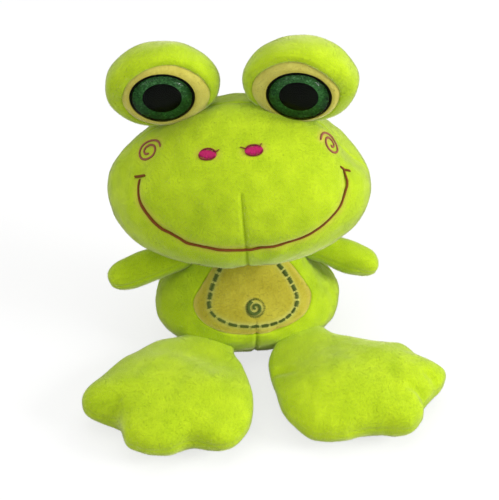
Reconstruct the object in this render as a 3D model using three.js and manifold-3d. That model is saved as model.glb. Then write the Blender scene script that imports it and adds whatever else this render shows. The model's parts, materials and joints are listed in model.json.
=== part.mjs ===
// A seated plush frog: a wide stuffed head with two stuffed eye pods, a pear-shaped body,
// two short arms and two large three-toed feet. Every stuffed part is a cover of short-pile
// cloth sewn from panels round its own stuffing, and the eyes are domed plastic safety eyes.
// Lengths are in millimetres and angles in degrees. +Z is up, the frog looks along -Y, left
// and right are the frog's own, and the origin is the middle of the flat seat under the body.
import * as THREE from "three";
import { mergeVertices } from "three/addons/utils/BufferGeometryUtils.js";
import Module from "manifold-3d";

const wasm = await Module();
wasm.setup();

// Cloth and clearances
const clothThickness = 2;
const seamGap = 0.3;
const jointGap = 0.5;
const swingGap = 1.2;
const tableFlat = 0.5;
const cutReach = 400;

// Body: a pear that sits on its wide end, outlined as [half width, height] from seat to neck
const bodyHalfWidth = 46;
const bodyFrontDepth = 38;
const bodyBackDepth = 36;
const bodyHeight = 57;
const bodySeamBack = 4;
const bodyOutlineShares = [
  [0, 0], [0.6, 0.02], [0.89, 0.15], [0.99, 0.36], [0.91, 0.58], [0.75, 0.74], [0.59, 0.86], [0.41, 0.95], [0, 1],
];

// Pellet pouch in the seat, which keeps the frog upright
const pouchHalfWidth = 26;
const pouchHalfDepth = 18;
const pouchHeight = 17;
const pouchBack = 6;

// Neck: the ball of stuffing where the head is sewn to the body
const neckRadius = 14;
const neckBack = 2;
const chinGap = 1;
const headTurnAngle = -10;
const headLeanAngle = -4.2;

// Head: wide and low, with full jowls and a lighter crown. A fullness of 2 is an ellipse and
// more is squarer.
const headHalfWidth = 62;
const headFrontDepth = 43;
const headBackDepth = 48;
const headRise = 43.5;
const headDrop = 32;
const headForward = 8;
const headSeamBack = 4;
const headJowlFullness = 2.45;
const headCrownFullness = 1.75;

// Eye pods: stuffed domes sewn on the crown, flat in front, where a pale patch is set in
const podHalfWidth = 25.5;
const podHalfHeight = 20.7;
const podFrontDepth = 8.6;
const podBackDepth = 19;
const podAside = 30.5;
const podAhead = 5;
const podAboveCrown = 10.9;
const podOutwardAngle = -5;
const podDownAngle = 13;
const podFrontFullness = 3;
const patchHalfWidth = 19.5;
const patchHalfHeight = 17.4;

// Safety eyes: a clear dome over a pupil and a glitter disc, in a black cup with a post that
// goes through the patch to a locking washer
const eyeRadius = 15;
const eyeDomeRise = 4.5;
const eyeCupWall = 0.8;
const eyeSink = 1.2;
const eyeDiscThickness = 0.4;
const pupilRadius = 9.3;
const postRadius = 2.4;
const postLength = 10;
const washerRadius = 8.5;
const washerThickness = 1.6;

// Face embroidery, laid on the head at angles round from its front and up from its widest level
const smileThreadRadius = 1;
const smileSideAngle = 64;
const smileCornerAngle = 29;
const smileMiddleAngle = -7;
const smileBend = 2.3;
const smileTickLength = 5;
const smileTickAngle = 40;
const nostrilHalfWidth = 4.4;
const nostrilHalfHeight = 3.2;
const nostrilRise = 1.2;
const nostrilSideAngle = 17.5;
const nostrilUpAngle = 54.5;
const cheekSpiralRadius = 5.6;
const cheekSpiralTurns = 1.7;
const cheekThreadRadius = 0.8;
const cheekSideAngle = 73;
const cheekUpAngle = 44;
const cheekStartAngle = 60;

// Belly: an inset pale patch, with a frame of dashes and a navel spiral. Its sizes run along the cloth.
const bellyMiddleShare = 0.57;
const bellyHalfWidth = 31;
const bellyDrop = 14;
const bellyRise = 38;
const dashFrameHalfWidth = 22;
const dashFrameDrop = 11;
const dashFrameRise = 30;
const dashFrameOpenAngle = 28;
const dashCount = 20;
const dashLength = 3.1;
const dashWidth = 2.3;
const dashRise = 1;
const dashLinkRadius = 0.6;
const navelDrop = 2.7;
const navelSpiralRadius = 4.4;
const navelSpiralTurns = 1.5;
const navelThreadRadius = 0.8;
const navelStartAngle = 120;
const spiralCloseShare = 0.75;

// Arms: short tapered limbs in the side seams, outlined as [half width, length] from root to tip
const shoulderShare = 0.725;
const shoulderOut = 1;
const armRootRadius = 7.2;
const armLength = 43;
const armHalfWidth = 8.2;
const armHalfThickness = 7.6;
const armOutlineShares = [[0, -0.1], [0.8, 0], [0.95, 0.35], [1, 0.65], [0.85, 0.86], [0.5, 0.97], [0, 1]];
const leftArmDroopAngle = 27;
const rightArmDroopAngle = 12;
const leftArmForwardAngle = 10;
const rightArmForwardAngle = 11;
const armRaiseLimitAngle = 25;
const armLowerLimitAngle = -8;

// Feet: three-toed pillows that lie flat, on short legs under the front of the body. A foot's
// outline is [angle round its middle, outwards from straight ahead, radius], and each foot has
// settled into its own.
const hipRoundAngle = -61;
const hipShare = 0.28;
const hipSink = 10.5;
const hipRadius = 8.5;
const legReach = 16;
const legHalfWidth = 13;
const legHalfThickness = 9;
const footMiddleReach = 50;
const footRadius = 40;
const footHalfThickness = 13.5;
const footFullness = 2.6;
const leftFootSplayAngle = 28;
const rightFootSplayAngle = 33;
const leftFootOutlineShares = [
  [-9, 0.8], [8, 0.92], [35, 0.9], [45, 0.975], [62, 1.15], [77, 0.98], [94, 0.92], [119, 0.82], [148, 0.88],
  [171, 0.97], [202, 0.97], [220, 0.9], [243, 0.88], [270, 0.88], [293, 0.92], [315, 0.82], [333, 0.75],
];
const rightFootOutlineShares = [
  [-9, 0.8], [8, 0.84], [35, 0.71], [45, 0.89], [62, 1.04], [77, 0.92], [94, 0.84], [119, 0.83], [148, 0.94],
  [171, 1], [202, 0.99], [220, 0.95], [243, 0.95], [270, 1.01], [293, 0.96], [315, 0.71], [333, 0.77],
];
const footRaiseLimitAngle = 20;
const footLowerLimitAngle = -15;

// How finely each shape is made: [sides round it, rings from pole to pole]
const headFaces = [28, 14];
const bodyFaces = [24, 10];
const pouchFaces = [14, 6];
const podFaces = [20, 8];
const armFaces = [10, 7];
const footFaces = [28, 7];
const swingFaces = [16, 6];
const legFaces = [10, 5];
const neckSides = 24;
const rootSides = 12;
const eyeSides = 20;
const domeRings = 4;
const beadSides = 6;
const threadSides = 6;
const spiralStepsPerTurn = 8;
const smileSteps = 24;
const dashLineSteps = 24;
const insideSidesShare = 0.5;
const insideRingsShare = 0.6;
const slopeStep = 1e-3;

function cloth(color) {
  return new THREE.MeshStandardMaterial({ color, roughness: 0.95, metalness: 0 });
}

function embroidery(color) {
  return new THREE.MeshStandardMaterial({ color, roughness: 0.6, metalness: 0 });
}

const greenPlush = cloth(0xaad62a);
const yellowPlush = cloth(0xd2c75a);
const stuffing = cloth(0xf2f0ea);
const pouchCloth = cloth(0xdedacb);
const smileThread = embroidery(0x7a2a14);
const nostrilThread = embroidery(0xa02350);
const cheekThread = embroidery(0x8c3a4c);
const bellyThread = embroidery(0x466419);
const blackPlastic = new THREE.MeshStandardMaterial({ color: 0x0a0a0a, roughness: 0.25, metalness: 0 });
const whitePlastic = new THREE.MeshStandardMaterial({ color: 0xe8e8e4, roughness: 0.4, metalness: 0 });
const glitterFilm = new THREE.MeshStandardMaterial({ color: 0x145a2a, roughness: 0.3, metalness: 0.5 });
const clearPlastic = new THREE.MeshStandardMaterial({
  color: 0xffffff,
  roughness: 0.05,
  metalness: 0,
  transparent: true,
  opacity: 0.25,
});

const radians = THREE.MathUtils.degToRad;
const origin = new THREE.Vector3();
const upwards = new THREE.Vector3(0, 0, 1);
const forwards = new THREE.Vector3(0, -1, 0);

// The solid inside a closed geometry
function solidOf(geometry) {
  const bare = geometry.clone();
  bare.deleteAttribute("normal");
  bare.deleteAttribute("uv");
  const merged = mergeVertices(bare);
  const vertProperties = merged.getAttribute("position").array;
  const triVerts = new Uint32Array(merged.getIndex().array);
  return new wasm.Manifold(new wasm.Mesh({ numProp: 3, vertProperties, triVerts }));
}

// Puts a solid in a group as a named mesh
function addPiece(group, name, solid, material) {
  const made = solid.getMesh();
  const geometry = new THREE.BufferGeometry();
  geometry.setAttribute("position", new THREE.BufferAttribute(made.vertProperties, 3));
  geometry.setIndex(new THREE.BufferAttribute(made.triVerts, 1));
  geometry.computeVertexNormals();
  const mesh = new THREE.Mesh(geometry, material);
  mesh.name = name;
  group.add(mesh);
}

function unionOf(solids) {
  return solids.reduce((whole, solid) => whole.add(solid));
}

// A closed solid from rings of points: pointAt(share round, ring), with one point at each end ring
function ringedSolid(pointAt, sides, rings, matrix) {
  const points = [pointAt(0, 0)];
  for (let ring = 1; ring < rings; ring += 1) {
    for (let side = 0; side < sides; side += 1) {
      points.push(pointAt(side / sides, ring));
    }
  }
  points.push(pointAt(0, rings));
  const at = (ring, side) => 1 + (ring - 1) * sides + (side % sides);
  const top = points.length - 1;
  const faces = [];
  for (let side = 0; side < sides; side += 1) {
    faces.push(0, at(1, side + 1), at(1, side));
    faces.push(at(rings - 1, side), at(rings - 1, side + 1), top);
    for (let ring = 1; ring < rings - 1; ring += 1) {
      faces.push(at(ring, side), at(ring, side + 1), at(ring + 1, side + 1));
      faces.push(at(ring, side), at(ring + 1, side + 1), at(ring + 1, side));
    }
  }
  const geometry = new THREE.BufferGeometry().setFromPoints(points);
  geometry.setIndex(faces);
  return solidOf(geometry.applyMatrix4(matrix));
}

// The direction that faces out of the surface place(a, t)
function outward(place, a, t) {
  if (t === 0 || t === 1) {
    const near = t === 0 ? slopeStep : 1 - slopeStep;
    const across = place(0, near).sub(place(Math.PI, near));
    const along = place(Math.PI / 2, near).sub(place(-Math.PI / 2, near));
    return across.cross(along).multiplyScalar(t === 0 ? -1 : 1).normalize();
  }
  const round = place(a + slopeStep, t).sub(place(a - slopeStep, t));
  const rise = place(a, t + slopeStep).sub(place(a, t - slopeStep));
  return round.cross(rise).normalize();
}

// A point of the surface place(a, t), moved out of it by grow
function pointOn(place, a, t, grow = 0) {
  return place(a, t).addScaledVector(outward(place, a, t), grow);
}

// The solid under place(a, t), which goes round with a from its lower pole, t = 0, to its upper
// pole, t = 1. The inside of a cover and its stuffing have fewer faces than the outside.
function formOf(place, [sides, wholeRings], grow = 0, matrix = new THREE.Matrix4()) {
  const around = grow < 0 ? Math.round(sides * insideSidesShare) : sides;
  const rings = grow < 0 ? Math.round(wholeRings * insideRingsShare) : wholeRings;
  const pointAt = (share, ring) => pointOn(place, share * 2 * Math.PI, ring / rings, grow);
  return ringedSolid(pointAt, around, rings, matrix);
}

// The point of the surface place that lies across and up along it from the one at a, t
function stepOn(place, a, t, across, up, grow = 0) {
  const round = place(a + slopeStep, t).distanceTo(place(a - slopeStep, t)) / (2 * slopeStep);
  const rise = place(a, t + slopeStep).distanceTo(place(a, t - slopeStep)) / (2 * slopeStep);
  return pointOn(place, a + across / round, t + up / rise, grow);
}

function ball(centre, radius, sides = rootSides) {
  const geometry = new THREE.SphereGeometry(radius, sides, sides / 2);
  return solidOf(geometry.translate(centre.x, centre.y, centre.z));
}

// A block with one face through point that looks along facing, and the rest of it behind that face
function blockBehind(point, facing) {
  const turn = new THREE.Quaternion().setFromUnitVectors(upwards, facing);
  const middle = point.clone().addScaledVector(facing, -cutReach / 2);
  const matrix = new THREE.Matrix4().compose(middle, turn, new THREE.Vector3(1, 1, 1));
  return solidOf(new THREE.BoxGeometry(cutReach, cutReach, cutReach).applyMatrix4(matrix));
}

// Cuts a cover along a seam through point: the panel that facing looks to, then the other one
function panelsOf(cover, point, facing) {
  const behind = facing.clone().negate();
  return [facing, behind].map((side) => {
    const edge = point.clone().addScaledVector(side, seamGap / 2);
    return cover.subtract(blockBehind(edge, side));
  });
}

// A solid turned round the local Z axis from [radius, height] pairs
function turned(profile) {
  const points = profile.map(([radius, height]) => new THREE.Vector2(radius, height));
  return solidOf(new THREE.LatheGeometry(points, eyeSides).rotateX(Math.PI / 2));
}

// A round thread through a list of points
function thread(points, radius) {
  const section = new THREE.Shape().absarc(0, 0, radius, 0, 2 * Math.PI);
  const extrudePath = new THREE.CatmullRomCurve3(points);
  return solidOf(new THREE.ExtrudeGeometry(section, { steps: points.length - 1, curveSegments: threadSides / 2, extrudePath }));
}

// The points of a spiral laid on the surface place round the point at a, t
function spiralOn(place, a, t, radius, turns, direction, startAngle) {
  const steps = Math.round(turns * spiralStepsPerTurn);
  const points = [];
  for (let step = 0; step <= steps; step += 1) {
    const turn = startAngle + (step / spiralStepsPerTurn) * 2 * Math.PI;
    const reach = radius * (1 - (spiralCloseShare * step) / steps);
    points.push(stepOn(place, a, t, direction * reach * Math.cos(turn), reach * Math.sin(turn)));
  }
  return points;
}

// A low oval bead of satin stitches that lies on a surface
function bead(point, along, facing, halfLength, halfWidth, rise) {
  const across = facing.clone().cross(along).normalize();
  const matrix = new THREE.Matrix4().makeBasis(
    across.clone().cross(facing).multiplyScalar(halfLength),
    across.clone().multiplyScalar(halfWidth),
    facing.clone().multiplyScalar(rise),
  );
  return solidOf(new THREE.SphereGeometry(1, beadSides, beadSides / 2).applyMatrix4(matrix.setPosition(point)));
}

// A number from 0 to 1 along a rounded outline: fullness 2 is an ellipse and more is squarer
function rounded(value, fullness) {
  return Math.sign(value) * Math.abs(value) ** (2 / fullness);
}

const bodyOutline = new THREE.SplineCurve(
  bodyOutlineShares.map(([out, up]) => new THREE.Vector2(out, up * (bodyHeight + tableFlat) - tableFlat)),
);

function bodyPlace(a, t) {
  const outline = bodyOutline.getPoint(t);
  const depth = Math.sin(a) < 0 ? bodyFrontDepth : bodyBackDepth;
  return new THREE.Vector3(
    outline.x * bodyHalfWidth * Math.cos(a),
    outline.x * depth * Math.sin(a),
    outline.y,
  );
}

function pouchPlace(a, t) {
  const up = (t - 1 / 2) * Math.PI;
  return new THREE.Vector3(
    pouchHalfWidth * Math.cos(up) * Math.cos(a),
    pouchHalfDepth * Math.cos(up) * Math.sin(a) + pouchBack,
    pouchHeight * Math.sin(up),
  );
}

// The head's surface in the head's own frame, whose origin is the middle of the neck
function headPlace(a, t) {
  const up = (t - 1 / 2) * Math.PI;
  const fullness = up < 0 ? headJowlFullness : headCrownFullness;
  const depth = Math.sin(a) < 0 ? headFrontDepth : headBackDepth;
  const out = rounded(Math.cos(up), fullness);
  const rise = rounded(Math.sin(up), fullness);
  return new THREE.Vector3(
    headHalfWidth * out * Math.cos(a),
    depth * out * Math.sin(a) - headForward,
    headDrop + chinGap + rise * (up < 0 ? headDrop : headRise),
  );
}

// A pod's surface in its own frame, with +Z out of its flat front and +Y up
function podPlace(a, t) {
  const ahead = (t - 1 / 2) * Math.PI;
  const fullness = ahead < 0 ? 2 : podFrontFullness;
  const out = rounded(Math.cos(ahead), fullness);
  return new THREE.Vector3(
    podHalfWidth * out * Math.cos(a),
    podHalfHeight * out * Math.sin(a),
    rounded(Math.sin(ahead), fullness) * (ahead < 0 ? podBackDepth : podFrontDepth),
  );
}

const armOutline = new THREE.SplineCurve(armOutlineShares.map(([out, along]) => new THREE.Vector2(out, along)));

// An arm's surface in its own frame, with +Z along the arm and +Y up
function armPlace(a, t) {
  const outline = armOutline.getPoint(t);
  return new THREE.Vector3(
    armHalfWidth * outline.x * Math.cos(a),
    armHalfThickness * outline.x * Math.sin(a),
    armLength * outline.y,
  );
}

// A foot's outline runs round the same way on both sides, so the right one is listed backwards
function footOutlineFor(side) {
  const shares = side > 0 ? leftFootOutlineShares : rightFootOutlineShares;
  const points = shares.map(([angle, share]) => {
    const turn = side * radians(angle);
    return new THREE.Vector3(share * Math.sin(turn), -share * Math.cos(turn), 0);
  });
  return new THREE.CatmullRomCurve3(side > 0 ? points : points.reverse(), true);
}

// The hips, where the leg balls sit in the body, and the height of a foot's middle above them
function hipPoint(side) {
  const round = side > 0 ? radians(hipRoundAngle) : Math.PI - radians(hipRoundAngle);
  return pointOn(bodyPlace, round, hipShare, -hipSink);
}

const footMiddleHeight = footHalfThickness - tableFlat - hipPoint(1).z;

// A foot's surface in its own frame, with the hip at the origin and the toes towards -Y
function footPlaceFor(side) {
  const outline = footOutlineFor(side);
  return (a, t) => {
    const up = (t - 1 / 2) * Math.PI;
    const edge = outline.getPoint(((a / (2 * Math.PI)) % 1 + 1) % 1).multiplyScalar(footRadius);
    const out = rounded(Math.cos(up), footFullness);
    return new THREE.Vector3(
      edge.x * out,
      edge.y * out - footMiddleReach,
      footMiddleHeight + footHalfThickness * rounded(Math.sin(up), footFullness),
    );
  };
}

function legPlace(a, t) {
  const up = (t - 1 / 2) * Math.PI;
  return new THREE.Vector3(
    legHalfWidth * Math.cos(up) * Math.cos(a),
    legReach * (Math.cos(up) * Math.sin(a) - 1),
    legHalfThickness * Math.sin(up),
  );
}

// A whole arm or foot, grown out or in
function armForm(side, grow = 0) {
  return formOf(armPlace, armFaces, grow).add(ball(origin, armRootRadius + grow));
}

function footForm(side, grow = 0) {
  const leg = formOf(legPlace, legFaces, grow);
  return unionOf([formOf(footPlaceFor(side), footFaces, grow), leg, ball(origin, hipRadius + grow)]);
}

// The room that the body leaves for a limb: a close socket for its root, and the space that
// the surfaces in places sweep as it swings between its limits
function roomFor(limb, rootRadius, places, limitAngles) {
  const room = [ball(limb.position, rootRadius + jointGap)];
  for (const angle of [0, ...limitAngles]) {
    const matrix = limb.matrixWorld.clone().multiply(new THREE.Matrix4().makeRotationX(-radians(angle)));
    room.push(...places.map((place) => formOf(place, swingFaces, swingGap, matrix)));
  }
  return unionOf(room);
}

const frog = new THREE.Group();
const sides = [
  { side: 1, name: "left", droop: leftArmDroopAngle, forward: leftArmForwardAngle, splay: leftFootSplayAngle },
  { side: -1, name: "right", droop: rightArmDroopAngle, forward: rightArmForwardAngle, splay: rightFootSplayAngle },
];

const head = new THREE.Group();
head.position.set(0, neckBack, bodyHeight);
head.rotation.set(0, radians(headLeanAngle), radians(headTurnAngle), "ZYX");
frog.add(head);

for (const limb of sides) {
  limb.pod = new THREE.Group();
  limb.pod.position.set(limb.side * podAside, -podAhead, chinGap + headDrop + headRise + podAboveCrown);
  limb.pod.rotation.set(radians(90 + podDownAngle), 0, radians(limb.side * podOutwardAngle), "ZYX");
  head.add(limb.pod);

  limb.arm = new THREE.Group();
  limb.arm.position.copy(pointOn(bodyPlace, limb.side > 0 ? 0 : Math.PI, shoulderShare, shoulderOut));
  const along = new THREE.Vector3(limb.side, 0, 0);
  along.applyAxisAngle(upwards, -limb.side * radians(limb.forward));
  along.z = -Math.tan(radians(limb.droop));
  along.normalize();
  const across = upwards.clone().cross(along).normalize();
  const above = along.clone().cross(across);
  limb.arm.quaternion.setFromRotationMatrix(new THREE.Matrix4().makeBasis(across, above, along));
  frog.add(limb.arm);

  limb.foot = new THREE.Group();
  limb.foot.position.copy(hipPoint(limb.side));
  limb.foot.rotation.z = limb.side * radians(limb.splay);
  frog.add(limb.foot);
}
frog.updateMatrixWorld(true);

// The safety eyes: all heights are along the pod's own +Z, out of the patch
const eyeSeat = podFrontDepth - eyeSink;
const eyeFloor = eyeSeat + eyeCupWall;
const glitterTop = eyeFloor + seamGap + eyeDiscThickness;
const pupilTop = glitterTop + seamGap + eyeDiscThickness;
const eyeRim = pupilTop;
const washerTop = podFrontDepth - clothThickness - seamGap;
const washerBottom = washerTop - washerThickness;
const eyeHole = turned([
  [0, eyeSeat - postLength - seamGap],
  [postRadius + seamGap, eyeSeat - postLength - seamGap],
  [postRadius + seamGap, eyeSeat - seamGap],
  [eyeRadius + seamGap, eyeSeat - seamGap],
  [eyeRadius + seamGap, eyeRim + cutReach],
  [0, eyeRim + cutReach],
]);
const washerWell = turned([
  [0, washerBottom - seamGap],
  [washerRadius + seamGap, washerBottom - seamGap],
  [washerRadius + seamGap, washerTop + seamGap],
  [0, washerTop + seamGap],
]);

function addEye(pod, name) {
  const innerRadius = eyeRadius - eyeCupWall;
  const cup = turned([
    [0, eyeSeat - postLength],
    [postRadius, eyeSeat - postLength],
    [postRadius, eyeSeat],
    [eyeRadius, eyeSeat],
    [eyeRadius, eyeRim],
    [innerRadius, eyeRim],
    [innerRadius, eyeFloor],
    [0, eyeFloor],
  ]);
  addPiece(pod, `eye_cup_${name}`, cup, blackPlastic);
  const discRadius = innerRadius - seamGap;
  const glitter = turned([[0, eyeFloor + seamGap], [discRadius, eyeFloor + seamGap], [discRadius, glitterTop], [0, glitterTop]]);
  addPiece(pod, `eye_glitter_disc_${name}`, glitter, glitterFilm);
  const pupilFloor = glitterTop + seamGap;
  const pupil = turned([[0, pupilFloor], [pupilRadius, pupilFloor], [pupilRadius, pupilTop], [0, pupilTop]]);
  addPiece(pod, `eye_pupil_${name}`, pupil, blackPlastic);
  const domeFloor = eyeRim + seamGap;
  const domeProfile = [[0, domeFloor]];
  for (let ring = 0; ring < domeRings; ring += 1) {
    const up = (ring / domeRings) * (Math.PI / 2);
    domeProfile.push([eyeRadius * Math.cos(up), domeFloor + eyeDomeRise * Math.sin(up)]);
  }
  domeProfile.push([0, domeFloor + eyeDomeRise]);
  addPiece(pod, `eye_dome_${name}`, turned(domeProfile), clearPlastic);
  const washer = turned([
    [postRadius + seamGap, washerBottom],
    [washerRadius, washerBottom],
    [washerRadius, washerTop],
    [postRadius + seamGap, washerTop],
    [postRadius + seamGap, washerBottom],
  ]);
  addPiece(pod, `eye_washer_${name}`, washer, whitePlastic);
}

// The head's cover and stuffing, which leave a socket for the neck
const headSeat = formOf(headPlace, headFaces, seamGap);
const neckSocket = ball(origin, neckRadius + jointGap, neckSides);
const headOutside = formOf(headPlace, headFaces);
const headCover = headOutside.subtract(formOf(headPlace, headFaces, -clothThickness)).subtract(neckSocket);
const headStuffing = formOf(headPlace, headFaces, -clothThickness - seamGap).subtract(neckSocket);
const headSeam = new THREE.Vector3(0, headSeamBack - headForward, 0);
const [facePanel, headBackPanel] = panelsOf(headCover, headSeam, forwards);
addPiece(head, "face_panel", facePanel, greenPlush);
addPiece(head, "head_back_panel", headBackPanel, greenPlush);
addPiece(head, "head_stuffing", headStuffing, stuffing);

// The pods' hoods, patches and stuffing stand on the head's cover
for (const { pod, name } of sides) {
  const headInPod = formOf(headPlace, headFaces, seamGap, pod.matrix.clone().invert());
  const outline = new THREE.Shape().absellipse(0, 0, patchHalfWidth, patchHalfHeight, 0, 2 * Math.PI);
  const hole = new THREE.Shape().absellipse(
    0, 0, patchHalfWidth + seamGap, patchHalfHeight + seamGap, 0, 2 * Math.PI,
  );
  const ahead = { depth: cutReach, bevelEnabled: false, curveSegments: podFaces[0] / 2 };
  const patchPlug = solidOf(new THREE.ExtrudeGeometry(outline, ahead));
  const patchHole = solidOf(new THREE.ExtrudeGeometry(hole, ahead));
  const cover = formOf(podPlace, podFaces).subtract(formOf(podPlace, podFaces, -clothThickness)).subtract(headInPod);
  const fill = formOf(podPlace, podFaces, -clothThickness - seamGap).subtract(headInPod);
  addPiece(pod, `eye_hood_${name}`, cover.subtract(patchHole), greenPlush);
  addPiece(pod, `eye_patch_${name}`, cover.intersect(patchPlug).subtract(washerWell).subtract(eyeHole), yellowPlush);
  addPiece(pod, `eye_pod_stuffing_${name}`, fill.subtract(washerWell).subtract(eyeHole), stuffing);
  addEye(pod, name);
}

// The smile runs round the face from corner to corner, with a tick across each end
const frontAngle = -Math.PI / 2;
const smilePoints = [];
for (let step = 0; step <= smileSteps; step += 1) {
  const share = (2 * step) / smileSteps - 1;
  const up = smileMiddleAngle + (smileCornerAngle - smileMiddleAngle) * Math.abs(share) ** smileBend;
  smilePoints.push(headPlace(frontAngle + radians(smileSideAngle) * share, 1 / 2 + up / 180));
}
const tickAside = (smileTickLength / 2) * Math.cos(radians(smileTickAngle));
const tickDrop = (smileTickLength / 2) * Math.sin(radians(smileTickAngle));
const smileThreads = [thread(smilePoints, smileThreadRadius)];
for (const { side } of sides) {
  const corner = [headPlace, frontAngle + side * radians(smileSideAngle), 1 / 2 + smileCornerAngle / 180];
  const ends = [-1, 0, 1].map((end) => stepOn(...corner, end * side * tickAside, -end * tickDrop));
  smileThreads.push(thread(ends, smileThreadRadius));
}
addPiece(head, "smile_stitching", unionOf(smileThreads).subtract(headSeat), smileThread);

for (const { side, name } of sides) {
  const round = frontAngle + side * radians(nostrilSideAngle);
  const height = 1 / 2 + nostrilUpAngle / 180;
  const facing = outward(headPlace, round, height);
  const along = upwards.clone().cross(facing);
  const nostril = bead(headPlace(round, height), along, facing, nostrilHalfWidth, nostrilHalfHeight, nostrilRise);
  addPiece(head, `nostril_stitching_${name}`, nostril.subtract(headSeat), nostrilThread);

  const cheek = [headPlace, frontAngle + side * radians(cheekSideAngle), 1 / 2 + cheekUpAngle / 180];
  const spiral = spiralOn(...cheek, cheekSpiralRadius, cheekSpiralTurns, -side, radians(cheekStartAngle));
  const spiralThread = thread(spiral, cheekThreadRadius).subtract(headSeat);
  addPiece(head, `cheek_spiral_stitching_${name}`, spiralThread, cheekThread);
}

// The body's cover and stuffing leave room for the limbs' roots wherever they swing
const table = blockBehind(origin, upwards);
const neckBall = ball(head.position, neckRadius, neckSides);
const neckHole = ball(head.position, neckRadius + seamGap, neckSides);
const limbRoom = unionOf(
  sides.flatMap(({ side, arm, foot }) => [
    roomFor(arm, armRootRadius, [armPlace], [armLowerLimitAngle, armRaiseLimitAngle]),
    roomFor(foot, hipRadius, [legPlace, footPlaceFor(side)], [footLowerLimitAngle, footRaiseLimitAngle]),
  ]),
);
const bodyCover = formOf(bodyPlace, bodyFaces)
  .subtract(formOf(bodyPlace, bodyFaces, -clothThickness))
  .subtract(table)
  .subtract(neckHole)
  .subtract(limbRoom);
const bodyStuffing = formOf(bodyPlace, bodyFaces, -clothThickness - seamGap);
const pouch = formOf(pouchPlace, pouchFaces).intersect(bodyStuffing);
const pouchRoom = formOf(pouchPlace, pouchFaces, seamGap);

// The belly patch follows an oval laid on the cloth round the middle of the belly
const bellyRings = 5;
const bellyPlugDepth = 3 * clothThickness;
const belly = [bodyPlace, frontAngle, bellyMiddleShare];

function bellyPlug(grow) {
  const pointAt = (share, ring) => {
    const inner = ring <= bellyRings;
    const reach = (inner ? ring : 2 * bellyRings + 1 - ring) / bellyRings;
    const turn = share * 2 * Math.PI;
    const across = (bellyHalfWidth + grow) * Math.cos(turn) * reach;
    const up = (grow + (turn < Math.PI ? bellyRise : bellyDrop)) * Math.sin(turn) * reach;
    return stepOn(...belly, across, up, inner ? -bellyPlugDepth : bellyPlugDepth);
  };
  return ringedSolid(pointAt, bodyFaces[0], 2 * bellyRings + 1, new THREE.Matrix4());
}

const [bodyFront, bodyBack] = panelsOf(bodyCover, new THREE.Vector3(0, bodySeamBack, 0), forwards);
addPiece(frog, "body_front_panel", bodyFront.subtract(bellyPlug(seamGap)), greenPlush);
addPiece(frog, "body_back_panel", bodyBack, greenPlush);
addPiece(frog, "belly_patch", bodyFront.intersect(bellyPlug(0)), yellowPlush);
addPiece(frog, "body_stuffing", bodyStuffing.add(neckBall).subtract(limbRoom).subtract(pouchRoom), stuffing);
addPiece(frog, "pellet_pouch", pouch, pouchCloth);

// A frame of dashes, open at the neck, on the belly patch. A thin thread runs on from dash to dash.
const bodySeat = formOf(bodyPlace, bodyFaces, seamGap);
const dashLine = [];
for (let step = 0; step <= dashLineSteps; step += 1) {
  const openAngle = radians(dashFrameOpenAngle);
  const turn = Math.PI - openAngle + (step / dashLineSteps) * (Math.PI + 2 * openAngle);
  const height = Math.sin(turn) < 0 ? dashFrameDrop : dashFrameRise;
  dashLine.push(new THREE.Vector2(dashFrameHalfWidth * Math.cos(turn), height * Math.sin(turn)));
}
const dashCurve = new THREE.SplineCurve(dashLine);
const onBelly = (flat) => stepOn(...belly, flat.x, flat.y);
const dashes = [];
for (let dash = 0; dash < dashCount; dash += 1) {
  const share = dash / (dashCount - 1);
  const flat = dashCurve.getPointAt(share);
  const middle = onBelly(flat);
  const facing = stepOn(...belly, flat.x, flat.y, clothThickness).sub(middle).normalize();
  const along = onBelly(flat.clone().addScaledVector(dashCurve.getTangentAt(share), dashLength)).sub(middle);
  dashes.push(bead(middle, along, facing, dashLength / 2, dashWidth / 2, dashRise));
}
dashes.push(thread(dashCurve.getSpacedPoints(dashLineSteps).map(onBelly), dashLinkRadius));
addPiece(frog, "belly_dash_stitching", unionOf(dashes).subtract(bodySeat), bellyThread);

const navelMiddle = bellyMiddleShare - navelDrop / bodyHeight;
const navelPlace = [bodyPlace, frontAngle, navelMiddle];
const navelPoints = spiralOn(...navelPlace, navelSpiralRadius, navelSpiralTurns, 1, radians(navelStartAngle));
addPiece(frog, "navel_spiral_stitching", thread(navelPoints, navelThreadRadius).subtract(bodySeat), bellyThread);

// Arms and feet: two panels each, sewn round the edge, over their own stuffing
for (const { side, arm, foot, name } of sides) {
  const sleeve = armForm(side).subtract(armForm(side, -clothThickness));
  const [armUpper, armLower] = panelsOf(sleeve, origin, new THREE.Vector3(0, 1, 0));
  addPiece(arm, `arm_upper_panel_${name}`, armUpper, greenPlush);
  addPiece(arm, `arm_lower_panel_${name}`, armLower, greenPlush);
  addPiece(arm, `arm_stuffing_${name}`, armForm(side, -clothThickness - seamGap), stuffing);

  const tableUnderFoot = blockBehind(new THREE.Vector3(0, 0, -foot.position.z), upwards);
  const footCover = footForm(side).subtract(footForm(side, -clothThickness)).subtract(tableUnderFoot);
  const [footTop, footSole] = panelsOf(footCover, new THREE.Vector3(0, 0, footMiddleHeight), upwards);
  addPiece(foot, `foot_top_panel_${name}`, footTop, greenPlush);
  addPiece(foot, `foot_sole_panel_${name}`, footSole, greenPlush);
  addPiece(foot, `foot_stuffing_${name}`, footForm(side, -clothThickness - seamGap), stuffing);
}

export default frog;
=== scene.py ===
# A seated plush frog of short lime green pile, with a wide embroidered face, two eye pods with
# domed plastic eyes, a dull yellow belly, short arms and broad three-toed feet. Metres, +Z up;
# the frog looks along -Y, and left and right are its own.
import bpy
import json
import math
import numpy as np
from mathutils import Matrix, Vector
from mathutils.bvhtree import BVHTree


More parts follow.
